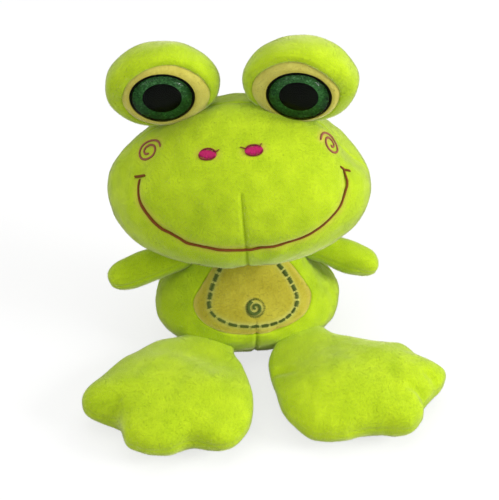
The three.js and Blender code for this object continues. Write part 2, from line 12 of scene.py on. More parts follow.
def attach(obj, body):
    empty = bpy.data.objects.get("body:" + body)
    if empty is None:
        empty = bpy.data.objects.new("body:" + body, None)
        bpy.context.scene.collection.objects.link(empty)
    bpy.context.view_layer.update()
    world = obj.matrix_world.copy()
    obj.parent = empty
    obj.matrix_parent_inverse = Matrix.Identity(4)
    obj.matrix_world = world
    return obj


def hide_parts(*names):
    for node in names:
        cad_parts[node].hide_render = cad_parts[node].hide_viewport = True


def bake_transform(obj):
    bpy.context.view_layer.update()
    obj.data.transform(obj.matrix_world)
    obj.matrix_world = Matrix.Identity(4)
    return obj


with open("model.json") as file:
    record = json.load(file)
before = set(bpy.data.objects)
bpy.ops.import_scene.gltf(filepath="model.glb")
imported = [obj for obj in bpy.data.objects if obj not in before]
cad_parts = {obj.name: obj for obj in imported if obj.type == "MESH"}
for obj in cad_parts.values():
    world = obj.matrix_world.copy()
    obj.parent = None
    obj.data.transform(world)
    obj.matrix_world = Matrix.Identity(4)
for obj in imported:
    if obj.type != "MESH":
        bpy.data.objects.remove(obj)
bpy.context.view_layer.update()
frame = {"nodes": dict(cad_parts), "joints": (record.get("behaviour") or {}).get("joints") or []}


# Table and light: a white table top under the frog, in a white surround. The light is soft, with a
# pale window in front of the frog's left side, which leaves its right side a little darker.
class Graph:
    """A node tree in the making, for a material or for a geometry modifier"""

    def __init__(self, tree):
        self.tree = tree
        tree.nodes.clear()

    def node(self, kind, settings=None, sockets=None, output=0):
        """Adds one node: its settings first, then the values or links of its sockets"""
        made = self.tree.nodes.new(kind)
        for name, value in (settings or {}).items():
            setattr(made, name, value)
        for name, value in (sockets or {}).items():
            if isinstance(value, Flow):
                self.tree.links.new(value.socket, made.inputs[name])
            else:
                made.inputs[name].default_value = value
        return Flow(self, made.outputs[output]) if len(made.outputs) else made

    def noise(self, scale, roughness=0.5, detail=2.0, place=None):
        """Cloudy noise from 0 to 1, with about scale clouds to the metre"""
        sockets = {"Scale": scale, "Detail": detail, "Roughness": roughness}
        if place is not None:
            sockets["Vector"] = place
        return self.node("ShaderNodeTexNoise", {}, sockets)

    def mix(self, share, first, second):
        """One colour passing into another as share goes from 0 to 1"""
        return self.node("ShaderNodeMix", {"data_type": "RGBA"}, {0: share, 6: first, 7: second}, output=2)

    def between(self, share, first, second):
        """One surface passing into another as share goes from 0 to 1"""
        return self.node("ShaderNodeMixShader", {}, {0: share, 1: first, 2: second})

    def show(self, surface, kind="ShaderNodeOutputMaterial"):
        """Gives the finished surface to the tree's output"""
        self.node(kind, {}, {"Surface": surface})


class Flow:
    """A socket's value, which joins expressions as a number does"""

    def __init__(self, graph, socket):
        self.graph, self.socket = graph, socket

    def also(self, output):
        """Another output of the same node"""
        return Flow(self.graph, self.socket.node.outputs[output])

    def maths(self, operation, first, second, clamp=False):
        settings = {"operation": operation, "use_clamp": clamp}
        return self.graph.node("ShaderNodeMath", settings, {0: first, 1: second})

    def __add__(self, other):
        return self.maths("ADD", self, other)

    def __sub__(self, other):
        return self.maths("SUBTRACT", self, other)

    def __rsub__(self, other):
        return self.maths("SUBTRACT", other, self)

    def __mul__(self, other):
        return self.maths("MULTIPLY", self, other)

    def __truediv__(self, other):
        return self.maths("DIVIDE", self, other)

    def clamped(self):
        """The value kept between 0 and 1"""
        return self.maths("ADD", self, 0.0, clamp=True)

    __radd__ = __add__
    __rmul__ = __mul__


def finish(name):
    """A new empty material and its graph"""
    material = bpy.data.materials.new(name)
    material.use_nodes = True
    return material, Graph(material.node_tree)


def seen_by_eye(graph):
    """1 where the camera looks at a surface, straight or through clear plastic, and 0 for light on it"""
    ray = graph.node("ShaderNodeLightPath")
    return (ray + ray.also("Is Transmission Ray")).clamped()


def shape(name, points, faces, *materials):
    """A mesh object from arrays of points and faces, smooth shaded"""
    mesh = bpy.data.meshes.new(name)
    mesh.from_pydata(points, [], faces)
    mesh.polygons.foreach_set("use_smooth", [True] * len(mesh.polygons))
    for material in materials:
        mesh.materials.append(material)
    made = bpy.data.objects.new(name, mesh)
    bpy.context.collection.objects.link(made)
    return made


table_reach, table_drop, paper_share = 3.0, 0.0003, 0.72
table_white, graph = finish("table_white")
seen = seen_by_eye(graph)
lit = graph.mix(seen, (0.55, 0.55, 0.55, 1), (0.97, 0.97, 0.97, 1))
board = graph.node("ShaderNodeBsdfPrincipled", {}, {"Base Color": lit, "Roughness": 0.9})
paper = graph.node("ShaderNodeEmission", {}, {"Color": (1.0, 1.0, 1.0, 1), "Strength": 1.0})
graph.show(graph.between(seen * paper_share, board, paper))
corners = [(x * table_reach, y * table_reach, -table_drop) for x, y in ((-1, -1), (1, -1), (1, 1), (-1, 1))]
table = shape("table", corners, [(0, 1, 2, 3)], table_white)

world = bpy.data.worlds.new("surround")
bpy.context.scene.world = world
world.use_nodes = True
graph = Graph(world.node_tree)
room = graph.node("ShaderNodeBackground", {}, {"Color": (1.0, 1.0, 1.0, 1), "Strength": 0.55})
page = graph.node("ShaderNodeBackground", {}, {"Color": (1.0, 1.0, 1.0, 1), "Strength": 1.0})
graph.show(graph.between(seen_by_eye(graph), room, page), "ShaderNodeOutputWorld")

frog_middle = Vector((0, 0, 0.07))


def window(name, place, size, power):
    """A square soft light that faces the frog"""
    light = bpy.data.lights.new(name, "AREA")
    light.size, light.energy = size, power
    lamp = bpy.data.objects.new(name, light)
    lamp.location = place
    lamp.rotation_euler = (frog_middle - Vector(place)).to_track_quat("-Z", "Y").to_euler()
    bpy.context.collection.objects.link(lamp)


window("window", (0.95, -0.45, 0.55), 0.45, 11.0)
window("ceiling", (0.1, 0.1, 1.2), 1.0, 4.0)
window("wall_glow", (-0.9, -0.35, 0.95), 1.0, 4.2)

view_target, view_distance = Vector((-0.0012, -0.020, 0.062)), 0.585
view_round, view_up = math.radians(-7.5), math.radians(39)
sensor_width = 36.0
picture_width, focal_length = 499, 1232  # both in pixels of the picture
camera = bpy.data.cameras.new("camera")
camera.sensor_fit = "HORIZONTAL"
camera.sensor_width = sensor_width
camera.lens = sensor_width * focal_length / picture_width
eye = bpy.data.objects.new("camera", camera)
level = math.cos(view_up)
eye.location = view_target + view_distance * Vector(
    (math.sin(view_round) * level, -math.cos(view_round) * level, math.sin(view_up))
)
eye.rotation_euler = (view_target - eye.location).to_track_quat("-Z", "Y").to_euler()
bpy.context.collection.objects.link(eye)
bpy.context.scene.camera = eye
bpy.context.scene.view_settings.view_transform = "Standard"


# Head: a wide low cushion of lime green plush, sewn from a face and a back panel over the crown
# and stuffed hard. A dart up the middle of the muzzle pinches it into two soft cheeks.
pressed_pile = (0.62, 0.68, 0.24, 1)
fresh_sheen = (0.97, 1.00, 0.58, 1)


def velvet(graph, colour, roughness, sheen, **more):
    """The soft surface of pile, which glows a little where it turns away"""
    return graph.node("ShaderNodeBsdfPrincipled", {}, {
        "Base Color": colour, "Roughness": roughness, "Specular IOR Level": 0.12, "Sheen Weight": 1.0,
        "Sheen Roughness": 0.38, "Sheen Tint": sheen, **more,
    })


def plush(name, deep, mid, glow, sheen):
    """Short velvety pile: mottled where it lies one way or the other, with painted shade down in a seam"""
    material, graph = finish(name)
    place = graph.node("ShaderNodeTexCoord", output="Object")
    broad, brushed = graph.noise(34.0, place=place), graph.noise(130.0, place=place)
    tufts = graph.noise(1100.0, roughness=0.7, place=place)
    tone = (broad - 0.5 + (brushed - 0.5) * 1.1 + (tufts - 0.5) * 0.65 + 0.50).clamped()
    colour = graph.mix(tone, deep, mid)
    # The first mark paints shade: down in seams, creases and joins the colour is pulled towards the deep
    # tone.
    for mark, share, dye in (("seam", 0.55, deep), ("halo", 0.75, glow), ("pale", 0.6, pressed_pile)):
        value = graph.node("ShaderNodeAttribute", {"attribute_name": mark}, output="Fac")
        colour = graph.mix((value * share).clamped(), colour, dye)
    bump = graph.node("ShaderNodeBump", {}, {"Strength": 0.6, "Distance": 0.0004, "Height": tufts})
    graph.show(velvet(graph, colour, 0.95, sheen, Normal=bump))
    return material


def fibres_of(name, deep, mid, pale):
    """The three shades of a pile's fibres, as one material each"""
    shades = []
    for ending, colour in (("_deep", deep), ("", mid), ("_pale", pale)):
        material, graph = finish(f"{name}_fibre{ending}")
        graph.show(velvet(graph, colour, 0.85, fresh_sheen))
        shades.append(material)
    return shades


green_plush = plush(
    "green_plush", (0.34, 0.50, 0.008, 1), (0.54, 0.72, 0.016, 1), (0.66, 0.50, 0.11, 1), fresh_sheen
)
green_fibres = fibres_of("green", (0.44, 0.60, 0.011, 1), (0.50, 0.67, 0.014, 1), (0.57, 0.75, 0.026, 1))


def turn(axis, degrees):
    """The matrix of a turn about X, Y or Z"""
    c, s = math.cos(math.radians(degrees)), math.sin(math.radians(degrees))
    return np.array({
        "x": [[1, 0, 0], [0, c, -s], [0, s, c]],
        "y": [[c, 0, s], [0, 1, 0], [-s, 0, c]],
        "z": [[c, -s, 0], [s, c, 0], [0, 0, 1]],
    }[axis])


def rounded(value, fullness):
    """A share along a rounded outline: fullness 2 is an ellipse and more is squarer"""
    return np.sign(value) * np.abs(value) ** (2 / fullness)


def ridge(off, width, steepness=2):
    """1 where off is 0, falling off to 0 on both sides over about width"""
    return np.exp(-((off / width) ** steepness))


def round_angles(count):
    """Angles at even steps once round"""
    return np.arange(count) * 2 * math.pi / count


def grid(place, around, rings):
    """Rows of points over a closed surface, from its first pole to its last"""
    t, a = np.meshgrid(np.linspace(0, 1, rings + 1), round_angles(around), indexing="ij")
    return place(a, t)


def facing(points):
    """The outward direction at each point of such rows"""
    round_step = np.roll(points, -1, 1) - np.roll(points, 1, 1)
    normal = np.cross(round_step, np.gradient(points, axis=0))
    normal[0], normal[-1] = normal[1].mean(0), normal[-2].mean(0)
    return normal / np.maximum(np.linalg.norm(normal, axis=-1, keepdims=True), 1e-12)


def mark(mesh, name, values, kind="FLOAT", field="value"):
    """Writes a value for each point of a mesh"""
    attribute = mesh.attributes.new(name, kind, "POINT")
    attribute.data.foreach_set(field, values.astype(np.float32).ravel())


def skin(name, points, *materials, **marks):
    """A closed mesh over such rows, with a value at each point for each mark"""
    rings, around = points.shape[0] - 1, points.shape[1]

    def flat(rows):
        return np.concatenate([rows[:1, 0], rows[1:-1].reshape(-1, *rows.shape[2:]), rows[-1:, 0]])

    def at(ring, side):
        return 1 + (ring - 1) * around + side % around

    side, ring = np.meshgrid(np.arange(around), np.arange(1, rings - 1))
    corners = at(ring, side), at(ring, side + 1), at(ring + 1, side + 1), at(ring + 1, side)
    last = 1 + (rings - 1) * around
    faces = np.stack(corners, -1).reshape(-1, 4).tolist()
    faces += [(0, at(1, k + 1), at(1, k)) for k in range(around)]
    faces += [(at(rings - 1, k), at(rings - 1, k + 1), last) for k in range(around)]
    made = shape(name, flat(points).tolist(), faces, *materials)
    for key, values in marks.items():
        mark(made.data, key, flat(values))
    return made


def lumps(points, length, seed):
    """Soft unevenness between about -1 and 1, length across, the same on every run"""
    waves, calm = 14, 5
    chance = np.random.default_rng(seed)
    total = np.zeros(points.shape[:-1])
    for _ in range(waves):
        way = chance.normal(size=3)
        way *= 2 * math.pi / (length * chance.uniform(0.7, 1.5)) / np.linalg.norm(way)
        total += np.sin(points @ way + chance.uniform(0, 2 * math.pi))
    return total / calm


def near(points, path, width):
    """1 on a path of points, falling off to 0 over about width"""
    far, batch = 1e3, 3000
    flat = points.reshape(-1, 3)
    least = np.full(len(flat), far)
    low, high = path.min(0) - 3 * width, path.max(0) + 3 * width
    close = np.nonzero(((flat > low) & (flat < high)).all(1))[0]
    for start in range(0, len(close), batch):
        rows = close[start:start + batch]
        least[rows] = np.sqrt(((flat[rows, None] - path[None]) ** 2).sum(-1)).min(1)
    return ridge(least, width).reshape(points.shape[:-1])


def catmull(points, share, closed=False):
    """Points of a smooth curve through others, at shares of its length in spans"""
    points = np.asarray(points, float)
    spans = len(points) if closed else len(points) - 1
    at = np.clip(share, 0, 1) * spans
    first = np.minimum(np.floor(at).astype(int), spans - 1)
    w = (at - first)[..., None]
    pick = (lambda k: points[k % len(points)]) if closed else (lambda k: points[np.clip(k, 0, spans)])
    p0, p1, p2, p3 = (pick(first + k) for k in (-1, 0, 1, 2))
    if closed:
        steps = (p0, p1), (p1, p2), (p2, p3)
        d0, d1, d2 = (np.sqrt(np.linalg.norm(q - p, axis=-1, keepdims=True)) for p, q in steps)
        m1 = ((p1 - p0) / d0 - (p2 - p0) / (d0 + d1) + (p2 - p1) / d1) * d1
        m2 = ((p2 - p1) / d1 - (p3 - p1) / (d1 + d2) + (p3 - p2) / d2) * d1
    else:
        m1, m2 = (p2 - p0) / 2, (p3 - p1) / 2
    return (2 * p1 - 2 * p2 + m1 + m2) * w ** 3 + (-3 * p1 + 3 * p2 - 2 * m1 - m2) * w ** 2 + m1 * w + p1


sewn_at = {joint["child"]: np.array(joint["pos_m"]) for joint in frame["joints"]}
head_matrix = turn("z", -10) @ turn("y", -4.2)
head_half_width, head_front, head_back, head_set_back = 0.062, 0.043, 0.048, 0.008
head_rise, head_drop, chin = 0.0435, 0.032, 0.001
jowl_fullness, crown_fullness = 2.45, 1.72


def head_place(a, t):
    up = (t - 0.5) * math.pi
    fullness = np.where(up < 0, jowl_fullness, crown_fullness)
    depth = np.where(np.sin(a) < 0, head_front, head_back)
    out, rise = rounded(np.cos(up), fullness), rounded(np.sin(up), fullness)
    return np.stack([
        head_half_width * out * np.cos(a),
        depth * out * np.sin(a) - head_set_back,
        head_drop + chin + rise * np.where(up < 0, head_drop, head_rise),
    ], -1)


def step_on(place, a, t, across, up):
    """Points of a surface at lengths across and up along it from the one at a, t, and the way out at each"""
    across, up = np.broadcast_arrays(np.asarray(across, float), np.asarray(up, float))
    step = 1e-3
    sides = (1, 0), (-1, 0), (0, 1), (0, -1)
    edges = [place(np.array(a + i * step), np.array(t + j * step)) for i, j in sides]
    a = a + across * 2 * step / np.linalg.norm(edges[0] - edges[1])
    t = t + up * 2 * step / np.linalg.norm(edges[2] - edges[3])
    round_way, rise_way = place(a + step, t) - place(a - step, t), place(a, t + step) - place(a, t - step)
    out = np.cross(round_way, rise_way)
    return place(a, t), out / np.linalg.norm(out, axis=-1, keepdims=True)


def on_face(side, up, across=0.0, rise=0.0):
    """Points of the head at angles round from its front and up from its widest level, or at lengths
    across and up along its surface from one such point"""
    side, up = np.broadcast_arrays(np.asarray(side, float), np.asarray(up, float))
    if side.ndim:
        return head_place(np.radians(side - 90), 0.5 + up / 180)
    return step_on(head_place, math.radians(float(side) - 90), 0.5 + float(up) / 180, across, rise)[0]


def head_to_world(points):
    return points @ head_matrix.T + sewn_at["head"]


def spiral(radius, turns, start, close, hurry, count):
    """A spiral that closes in on its middle, as lengths across and up"""
    turned = np.linspace(0, turns * 2 * math.pi, count)
    reach = radius * (1 - close * (turned / turned[-1]) ** hurry)
    return reach * np.cos(math.radians(start) + turned), reach * np.sin(math.radians(start) + turned)


smile_share = np.linspace(-1, 1, 400)
smile_angles = np.array([  # degrees round from the front, and up from the widest level
    (-58.5, 29.4), (-55.2, 25.2), (-50.9, 20.9), (-45.8, 16.8), (-40.8, 12.5), (-35.9, 8.0), (-30.9, 3.6),
    (-25.7, -0.4), (-20.3, -2.9), (-14.6, -4.5), (-9.0, -5.6), (-3.4, -6.3), (2.1, -6.7), (7.5, -7.0),
    (13.1, -7.1), (18.7, -6.8), (24.5, -6.0), (30.3, -4.6), (36.0, -2.6), (41.6, 0.2), (46.9, 4.6),
    (52.0, 9.5), (56.7, 14.4), (60.9, 19.0), (65.0, 23.0), (70.2, 26.6),
])
smile_path = catmull(on_face(*smile_angles.T), 0.5 + 0.5 * smile_share)
tick_ends = {-1: ((-61.9, 29.8), (-55.5, 33.4)), 1: ((68.3, 28.9), (72.5, 24.3))}
tick_paths = {s: catmull(on_face(*np.array(ends).T), np.linspace(0, 1, 16)) for s, ends in tick_ends.items()}
dart_side, dart_foot, dart_top = 4.2, -75, 31
dart_path = on_face(np.full(160, dart_side), np.linspace(dart_foot, dart_top, 160))
nostril_half_width, nostril_half_height = 0.0038, 0.0028
nostril_line = np.linspace(-nostril_half_width, nostril_half_width, 40)
nostril_places = {-1: (-19.2, 53.6), 1: (17.4, 54.6)}
nostril_paths = {s: on_face(*place, nostril_line, 0.0) for s, place in nostril_places.items()}
cheek_places = {-1: (-71.3, 43.8), 1: (80.2, 39.8)}
coil_across, coil_up = spiral(radius=0.0067, turns=1.75, start=60, close=0.75, hurry=1, count=105)
cheek_paths = {s: on_face(*place, -s * coil_across, coil_up) for s, place in cheek_places.items()}

dart_groove, dart_pinch, thread_groove, thread_pull, hole_groove = 0.0008, 0.008, 0.0012, 0.0040, 0.0022
smile_halo, cheek_halo, tick_halo = 0.0021, 0.0018, 0.0012
head = grid(head_place, 420, 210)
dart, pinch = near(head, dart_path, dart_groove), near(head, dart_path, dart_pinch)
smile, smile_pull = near(head, smile_path, thread_groove), near(head, smile_path, thread_pull)
crown_seam = ridge(head[..., 1] + 0.004, 0.0008)
eyelet = sum(near(head, path, hole_groove) for path in nostril_paths.values())
cheek = sum(near(head, path, thread_groove) for path in cheek_paths.values())
low_on_muzzle = np.clip((0.045 - head[..., 2]) / 0.03, 0, 1)
under_pile = 0.0004
out = facing(head)
grow = 0.0007 * lumps(head, 0.030, 3) + 0.0002 * lumps(head, 0.009, 4)
grow -= 0.0009 * dart + 0.0013 * pinch * low_on_muzzle
grow -= (
    0.0006 * smile + 0.0007 * smile_pull + 0.0004 * crown_seam + 0.0004 * eyelet + 0.0003 * cheek
    + under_pile
)
head_dents = (0.0042, 0.014, (93, 28)), (0.0017, 0.015, (-80, 46)), (-0.0008, 0.020, (-95, 5))
for depth, width, place in head_dents:
    grow -= depth * ridge(np.linalg.norm(head - on_face(*place), axis=-1), width)
head = head + out * grow[..., None]
halo = near(head, smile_path, smile_halo) + sum(near(head, path, cheek_halo) for path in cheek_paths.values())
halo = np.clip(halo, 0, 1) + sum(near(head, path, tick_halo) for path in tick_paths.values()) + 0.6 * eyelet
bare = np.clip(1 - smile - eyelet - cheek, 0, 1)
# Painted shade down the dart and along the crown seam.
head_cover = skin(
    "head_cover", head_to_world(head), green_plush, seam=np.clip(0.8 * dart + 0.4 * crown_seam, 0, 1),
    halo=np.clip(halo, 0, 1), pile=bare * (1 - 0.5 * crown_seam),
)


class Growth(Graph):
    """A geometry tree with named inputs, which grows pile or lays stitches on what it is given"""

    def __init__(self, name, inputs, output):
        super().__init__(bpy.data.node_groups.new(name, "GeometryNodeTree"))
        self.identifiers = {}
        for key, kind in inputs.items():
            socket = self.tree.interface.new_socket(key, in_out="INPUT", socket_type=f"NodeSocket{kind}")
            self.identifiers[key] = socket.identifier
        self.tree.interface.new_socket(output, in_out="OUTPUT", socket_type="NodeSocketGeometry")
        self.given = self.node("NodeGroupInput")

    def carried(self, name, kind="FLOAT"):
        """The value that a mesh's points carry under a name"""
        return self.node("GeometryNodeInputNamedAttribute", {"data_type": kind}, {"Name": name})

    def carry(self, points, name, value, kind="FLOAT"):
        """The points with one more value to carry"""
        sockets = {"Geometry": points, "Name": name, "Value": value}
        return self.node("GeometryNodeStoreNamedAttribute", {"data_type": kind}, sockets)

    def chance(self, low, high, seed):
        """A random number between low and high for each point"""
        sockets = {2: low, 3: high, "Seed": seed}
        return self.node("FunctionNodeRandomValue", {"data_type": "FLOAT"}, sockets, output=1)

    def stray(self, low, high, seed):
        """A random vector between low and high for each point"""
        sockets = {0: low, 1: high, "Seed": seed}
        return self.node("FunctionNodeRandomValue", {"data_type": "FLOAT_VECTOR"}, sockets)

    def turned(self, aim, turn):
        """A piece's aim with a turn of its own"""
        return self.node("FunctionNodeRotateRotation", {"rotation_space": "LOCAL"}, {0: aim, 1: turn})

    def placed(self, points, piece, aim, size):
        """One real copy of a piece at each point"""
        sockets = {"Points": points, "Instance": piece, "Rotation": aim, "Scale": size}
        copies = self.node("GeometryNodeInstanceOnPoints", {}, sockets)
        return self.node("GeometryNodeRealizeInstances", {}, {"Geometry": copies})

    def dressed(self, geometry, dye, **chosen):
        """A geometry, or its chosen part, in the material of an input"""
        sockets = {"Geometry": geometry, "Material": self.given.also(dye), **chosen}
        return self.node("GeometryNodeSetMaterial", {}, sockets)

    def grow(self, name, start, **values):
        """What the tree makes of an object, as a plain mesh object"""
        carrier = start.copy()
        bpy.context.collection.objects.link(carrier)
        modifier = carrier.modifiers.new("growth", "NODES")
        modifier.node_group = self.tree
        for key, value in values.items():
            modifier[self.identifiers[key.replace("_", " ")]] = value
        made = bpy.data.meshes.new_from_object(carrier.evaluated_get(bpy.context.evaluated_depsgraph_get()))
        carrier.modifiers.remove(modifier)
        bpy.data.objects.remove(carrier)
        piece = bpy.data.objects.new(name, made)
        bpy.context.collection.objects.link(piece)
        return piece


def pile_growth():
    """Short fibres all over a cover: each is one slim blade that leans down with the nap"""
    growth = Growth("pile", {
        "Cover": "Geometry", "Fibres per square metre": "Float", "Fibre length": "Float",
        "Fibre width": "Float", "Nap": "Vector", "Rows": "Float", "Seed": "Int", "Deep": "Material",
        "Middle": "Material", "Pale": "Material",
    }, "Pile")
    given = growth.given
    points = growth.node("GeometryNodeDistributePointsOnFaces", {}, {
        "Mesh": given, "Density": given.also("Fibres per square metre") * growth.carried("pile"),
        "Seed": given.also("Seed"),
    })
    lean = growth.node("ShaderNodeVectorMath", {}, {0: points.also("Normal"), 1: given.also("Nap")})
    way = growth.node("ShaderNodeVectorMath", {}, {0: lean, 1: growth.stray((-0.45,) * 3, (0.45,) * 3, 5)})
    aim = growth.node("FunctionNodeAlignRotationToVector", {"axis": "Z"}, {"Vector": way})
    aim = growth.turned(aim, growth.stray((0, 0, 0), (0, 0, 6.28), 6))
    brushed, fine = growth.noise(150.0), growth.noise(620.0, detail=1.0)
    wales = {"Scale": 157.0, "Distortion": 1.5, "Detail": 2.0}
    rows = growth.node("ShaderNodeTexWave", {"bands_direction": "Y"}, wales, output=1)
    shade = growth.chance(0.0, 1.0, 7) * 0.4 + (brushed - 0.5) * 1.8 + (fine - 0.5) * 1.6
    shade = shade + (rows - 0.5) * given.also("Rows") + 0.30
    points = growth.carry(points, "lie", points.also("Normal"), "FLOAT_VECTOR")
    points = growth.carry(points, "shade", shade)
    triangle = growth.node("GeometryNodeMeshCircle", {"fill_type": "NGON"}, {"Vertices": 3, "Radius": 1.0})
    triangle_height, triangle_side = 1.5, 1.73
    slim = growth.node("ShaderNodeCombineXYZ", {}, {
        "X": given.also("Fibre length") / triangle_height, "Y": given.also("Fibre width") / triangle_side,
        "Z": 1.0,
    })
    blade = growth.node("GeometryNodeTransform", {}, {"Geometry": triangle, "Scale": slim})
    blade = growth.node("GeometryNodeTransform", {}, {"Geometry": blade, "Rotation": (0, -math.pi / 2, 0)})
    size = growth.node("ShaderNodeCombineXYZ", {}, {"X": 1.0, "Y": 1.0, "Z": growth.chance(0.6, 1.15, 8)})
    cloth = growth.dressed(growth.placed(points, blade, aim, size), "Middle")
    for operation, limit, shade in (("LESS_THAN", 0.3, "Deep"), ("GREATER_THAN", 0.7, "Pale")):
        sockets = {0: growth.carried("shade"), 1: limit}
        chosen = growth.node("FunctionNodeCompare", {"operation": operation}, sockets)
        cloth = growth.dressed(cloth, shade, Selection=chosen)
    growth.node("NodeGroupOutput", {}, {"Pile": cloth})
    return growth


pile_tree = pile_growth()
fibres_per_area, fibre_length, fibre_width, nap = 6e6, 0.0006, 0.00017, (0, 0, -1.0)


def pile(name, cover, fibres, seed, rows=0.0):
    """The pile of one cover, shaded as the cloth that it grows from"""
    deep, middle, pale = fibres
    piece = pile_tree.grow(
        name, cover, Fibres_per_square_metre=fibres_per_area, Fibre_length=fibre_length,
        Fibre_width=fibre_width, Nap=nap, Rows=rows, Seed=seed, Deep=deep, Middle=middle, Pale=pale,
    )
    lie = np.empty(len(piece.data.vertices) * 3, np.float32)
    piece.data.attributes["lie"].data.foreach_get("vector", lie)
    piece.data.normals_split_custom_set_from_vertices(lie.reshape(-1, 3).tolist())
    return piece


head_pile = pile("head_pile", head_cover, green_fibres, 11)
for piece in (head_cover, head_pile):
    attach(piece, "head")
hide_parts("face_panel", "head_back_panel", "head_stuffing")


# Face embroidery: satin stitches of thick thread, sunk into the pile, which lies flat round them.
# A dark reddish smile with a tick at each end, two magenta nostrils outlined in dark red, and a
# dull reddish spiral on each cheek.
def thread(name, deep, mid):
    """Twisted embroidery thread, which shines a little along its length"""
    material, graph = finish(name)
    twist = graph.noise(1500.0, place=graph.node("ShaderNodeTexCoord", output="Object"))
    bump = graph.node("ShaderNodeBump", {}, {"Strength": 0.4, "Distance": 0.0002, "Height": twist})
    graph.show(graph.node("ShaderNodeBsdfPrincipled", {}, {
        "Base Color": graph.mix(twist, deep, mid), "Roughness": 0.6, "Specular IOR Level": 0.14,
        "Sheen Weight": 0.12, "Sheen Roughness": 0.4, "Sheen Tint": (1.0, 0.85, 0.6, 1), "Normal": bump,
    }))
    return material


def stitch_growth():
    """Stitches laid side by side along a path, each a slim bead across it"""
    growth = Growth("stitches", {
        "Path": "Geometry", "Pitch": "Float", "Thread width": "Float", "Thread height": "Float",
        "Slant": "Float", "Seed": "Int", "Thread": "Material",
    }, "Stitches")
    given = growth.given
    line = growth.node("GeometryNodeMeshToCurve", {}, {"Mesh": given})
    evenly = {"Curve": line, "Length": given.also("Pitch")}
    line = growth.node("GeometryNodeResampleCurve", {"mode": "LENGTH"}, evenly)
    points = growth.node("GeometryNodeCurveToPoints", {"mode": "EVALUATED"}, {"Curve": line})
    aim = growth.node("FunctionNodeAlignRotationToVector", {"axis": "Z"}, {
        "Vector": growth.carried("facing", "FLOAT_VECTOR"),
    })
    aim = growth.node("FunctionNodeAlignRotationToVector", {"axis": "X", "pivot_axis": "Z"}, {
        "Rotation": aim, "Vector": points.also("Tangent"),
    })
    waver = growth.chance(-0.09, 0.09, given.also("Seed"))
    slanted = growth.node("ShaderNodeCombineXYZ", {}, {"Z": given.also("Slant") + waver})
    uneven = growth.chance(0.9, 1.1, given.also("Seed"))
    size = growth.node("ShaderNodeCombineXYZ", {}, {
        "X": given.also("Thread width") * 0.5, "Y": growth.carried("reach") * uneven,
        "Z": given.also("Thread height"),
    })
    bead = growth.node("GeometryNodeMeshUVSphere", {}, {"Segments": 8, "Rings": 5, "Radius": 1.0})
    laid = growth.placed(points, bead, growth.turned(aim, slanted), size)
    laid = growth.node("GeometryNodeSetShadeSmooth", {}, {"Geometry": laid})
    growth.node("NodeGroupOutput", {}, {"Stitches": growth.dressed(laid, "Thread")})
    return growth


stitch_tree = stitch_growth()


def tree_of(cover):
    """A cover's surface, for finding the nearest place on it"""
    faces = [face.vertices for face in cover.data.polygons]
    return BVHTree.FromPolygons([point.co for point in cover.data.vertices], faces)


def settled(points, tree, rise):
    """Points moved onto a cover, with the way out of it at each, evened out along the row"""
    beside, away = 12, 0.006
    run = 2 * beside + 1
    ways = np.array([tree.find_nearest(Vector(p))[1] for p in points])
    padded = np.concatenate([ways[:1].repeat(beside, 0), ways, ways[-1:].repeat(beside, 0)])
    ways = np.stack([np.convolve(padded[:, k], np.ones(run) / run, "valid") for k in range(3)], -1)
    ways /= np.linalg.norm(ways, axis=-1, keepdims=True)
    hits = [
        tree.ray_cast(Vector(p + away * w), Vector(-w), 2 * away)[0] or Vector(p)
        for p, w in zip(points, ways)
    ]
    return np.array(hits) + ways * rise, ways


def stitched(
    name, paths, reaches, tree, thread, seed,
    pitch=0.0004, width=0.0006, height=0.0004, slant=0.0, rise=0.0003,
):
    """Rows of stitches along paths on a cover, as one mesh object"""
    points, facings, halves, edges = [], [], [], []
    for path, reach in zip(paths, reaches):
        place, ways = settled(path, tree, rise)
        start = sum(len(p) for p in points)
        edges += [(start + k, start + k + 1) for k in range(len(place) - 1)]
        points.append(place)
        facings.append(ways)
        halves.append(np.broadcast_to(np.asarray(reach, float), len(place)))
    mesh = bpy.data.meshes.new(name + "_path")
    mesh.from_pydata(np.concatenate(points).tolist(), edges, [])
    mark(mesh, "facing", np.concatenate(facings), "FLOAT_VECTOR", "vector")
    mark(mesh, "reach", np.concatenate(halves))
    path = bpy.data.objects.new(name + "_path", mesh)
    piece = stitch_tree.grow(
        name, path, Pitch=pitch, Thread_width=width, Thread_height=height, Slant=slant, Seed=seed,
        Thread=thread,
    )
    bpy.data.objects.remove(path)
    return piece


head_tree = tree_of(head_cover)
smile_thread = thread("smile_thread", (0.13, 0.036, 0.004, 1), (0.24, 0.074, 0.008, 1))
nostril_thread = thread("nostril_thread", (0.40, 0.012, 0.10, 1), (0.62, 0.025, 0.17, 1))
nostril_edge_thread = thread("nostril_edge_thread", (0.16, 0.010, 0.022, 1), (0.26, 0.018, 0.035, 1))
cheek_thread = thread("cheek_thread", (0.25, 0.075, 0.045, 1), (0.38, 0.13, 0.08, 1))

smile_reach, tick_reaches = 0.00085 - 0.00014 * smile_share, (0.0008, 0.0007)
smile = stitched(
    "smile_stitches", [head_to_world(path) for path in (smile_path, *tick_paths.values())],
    [smile_reach, *tick_reaches], head_tree, smile_thread, 71, pitch=0.00044, width=0.00066, height=0.00045,
    slant=0.65, rise=0.0004,
)
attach(smile, "head")
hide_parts("smile_stitching")

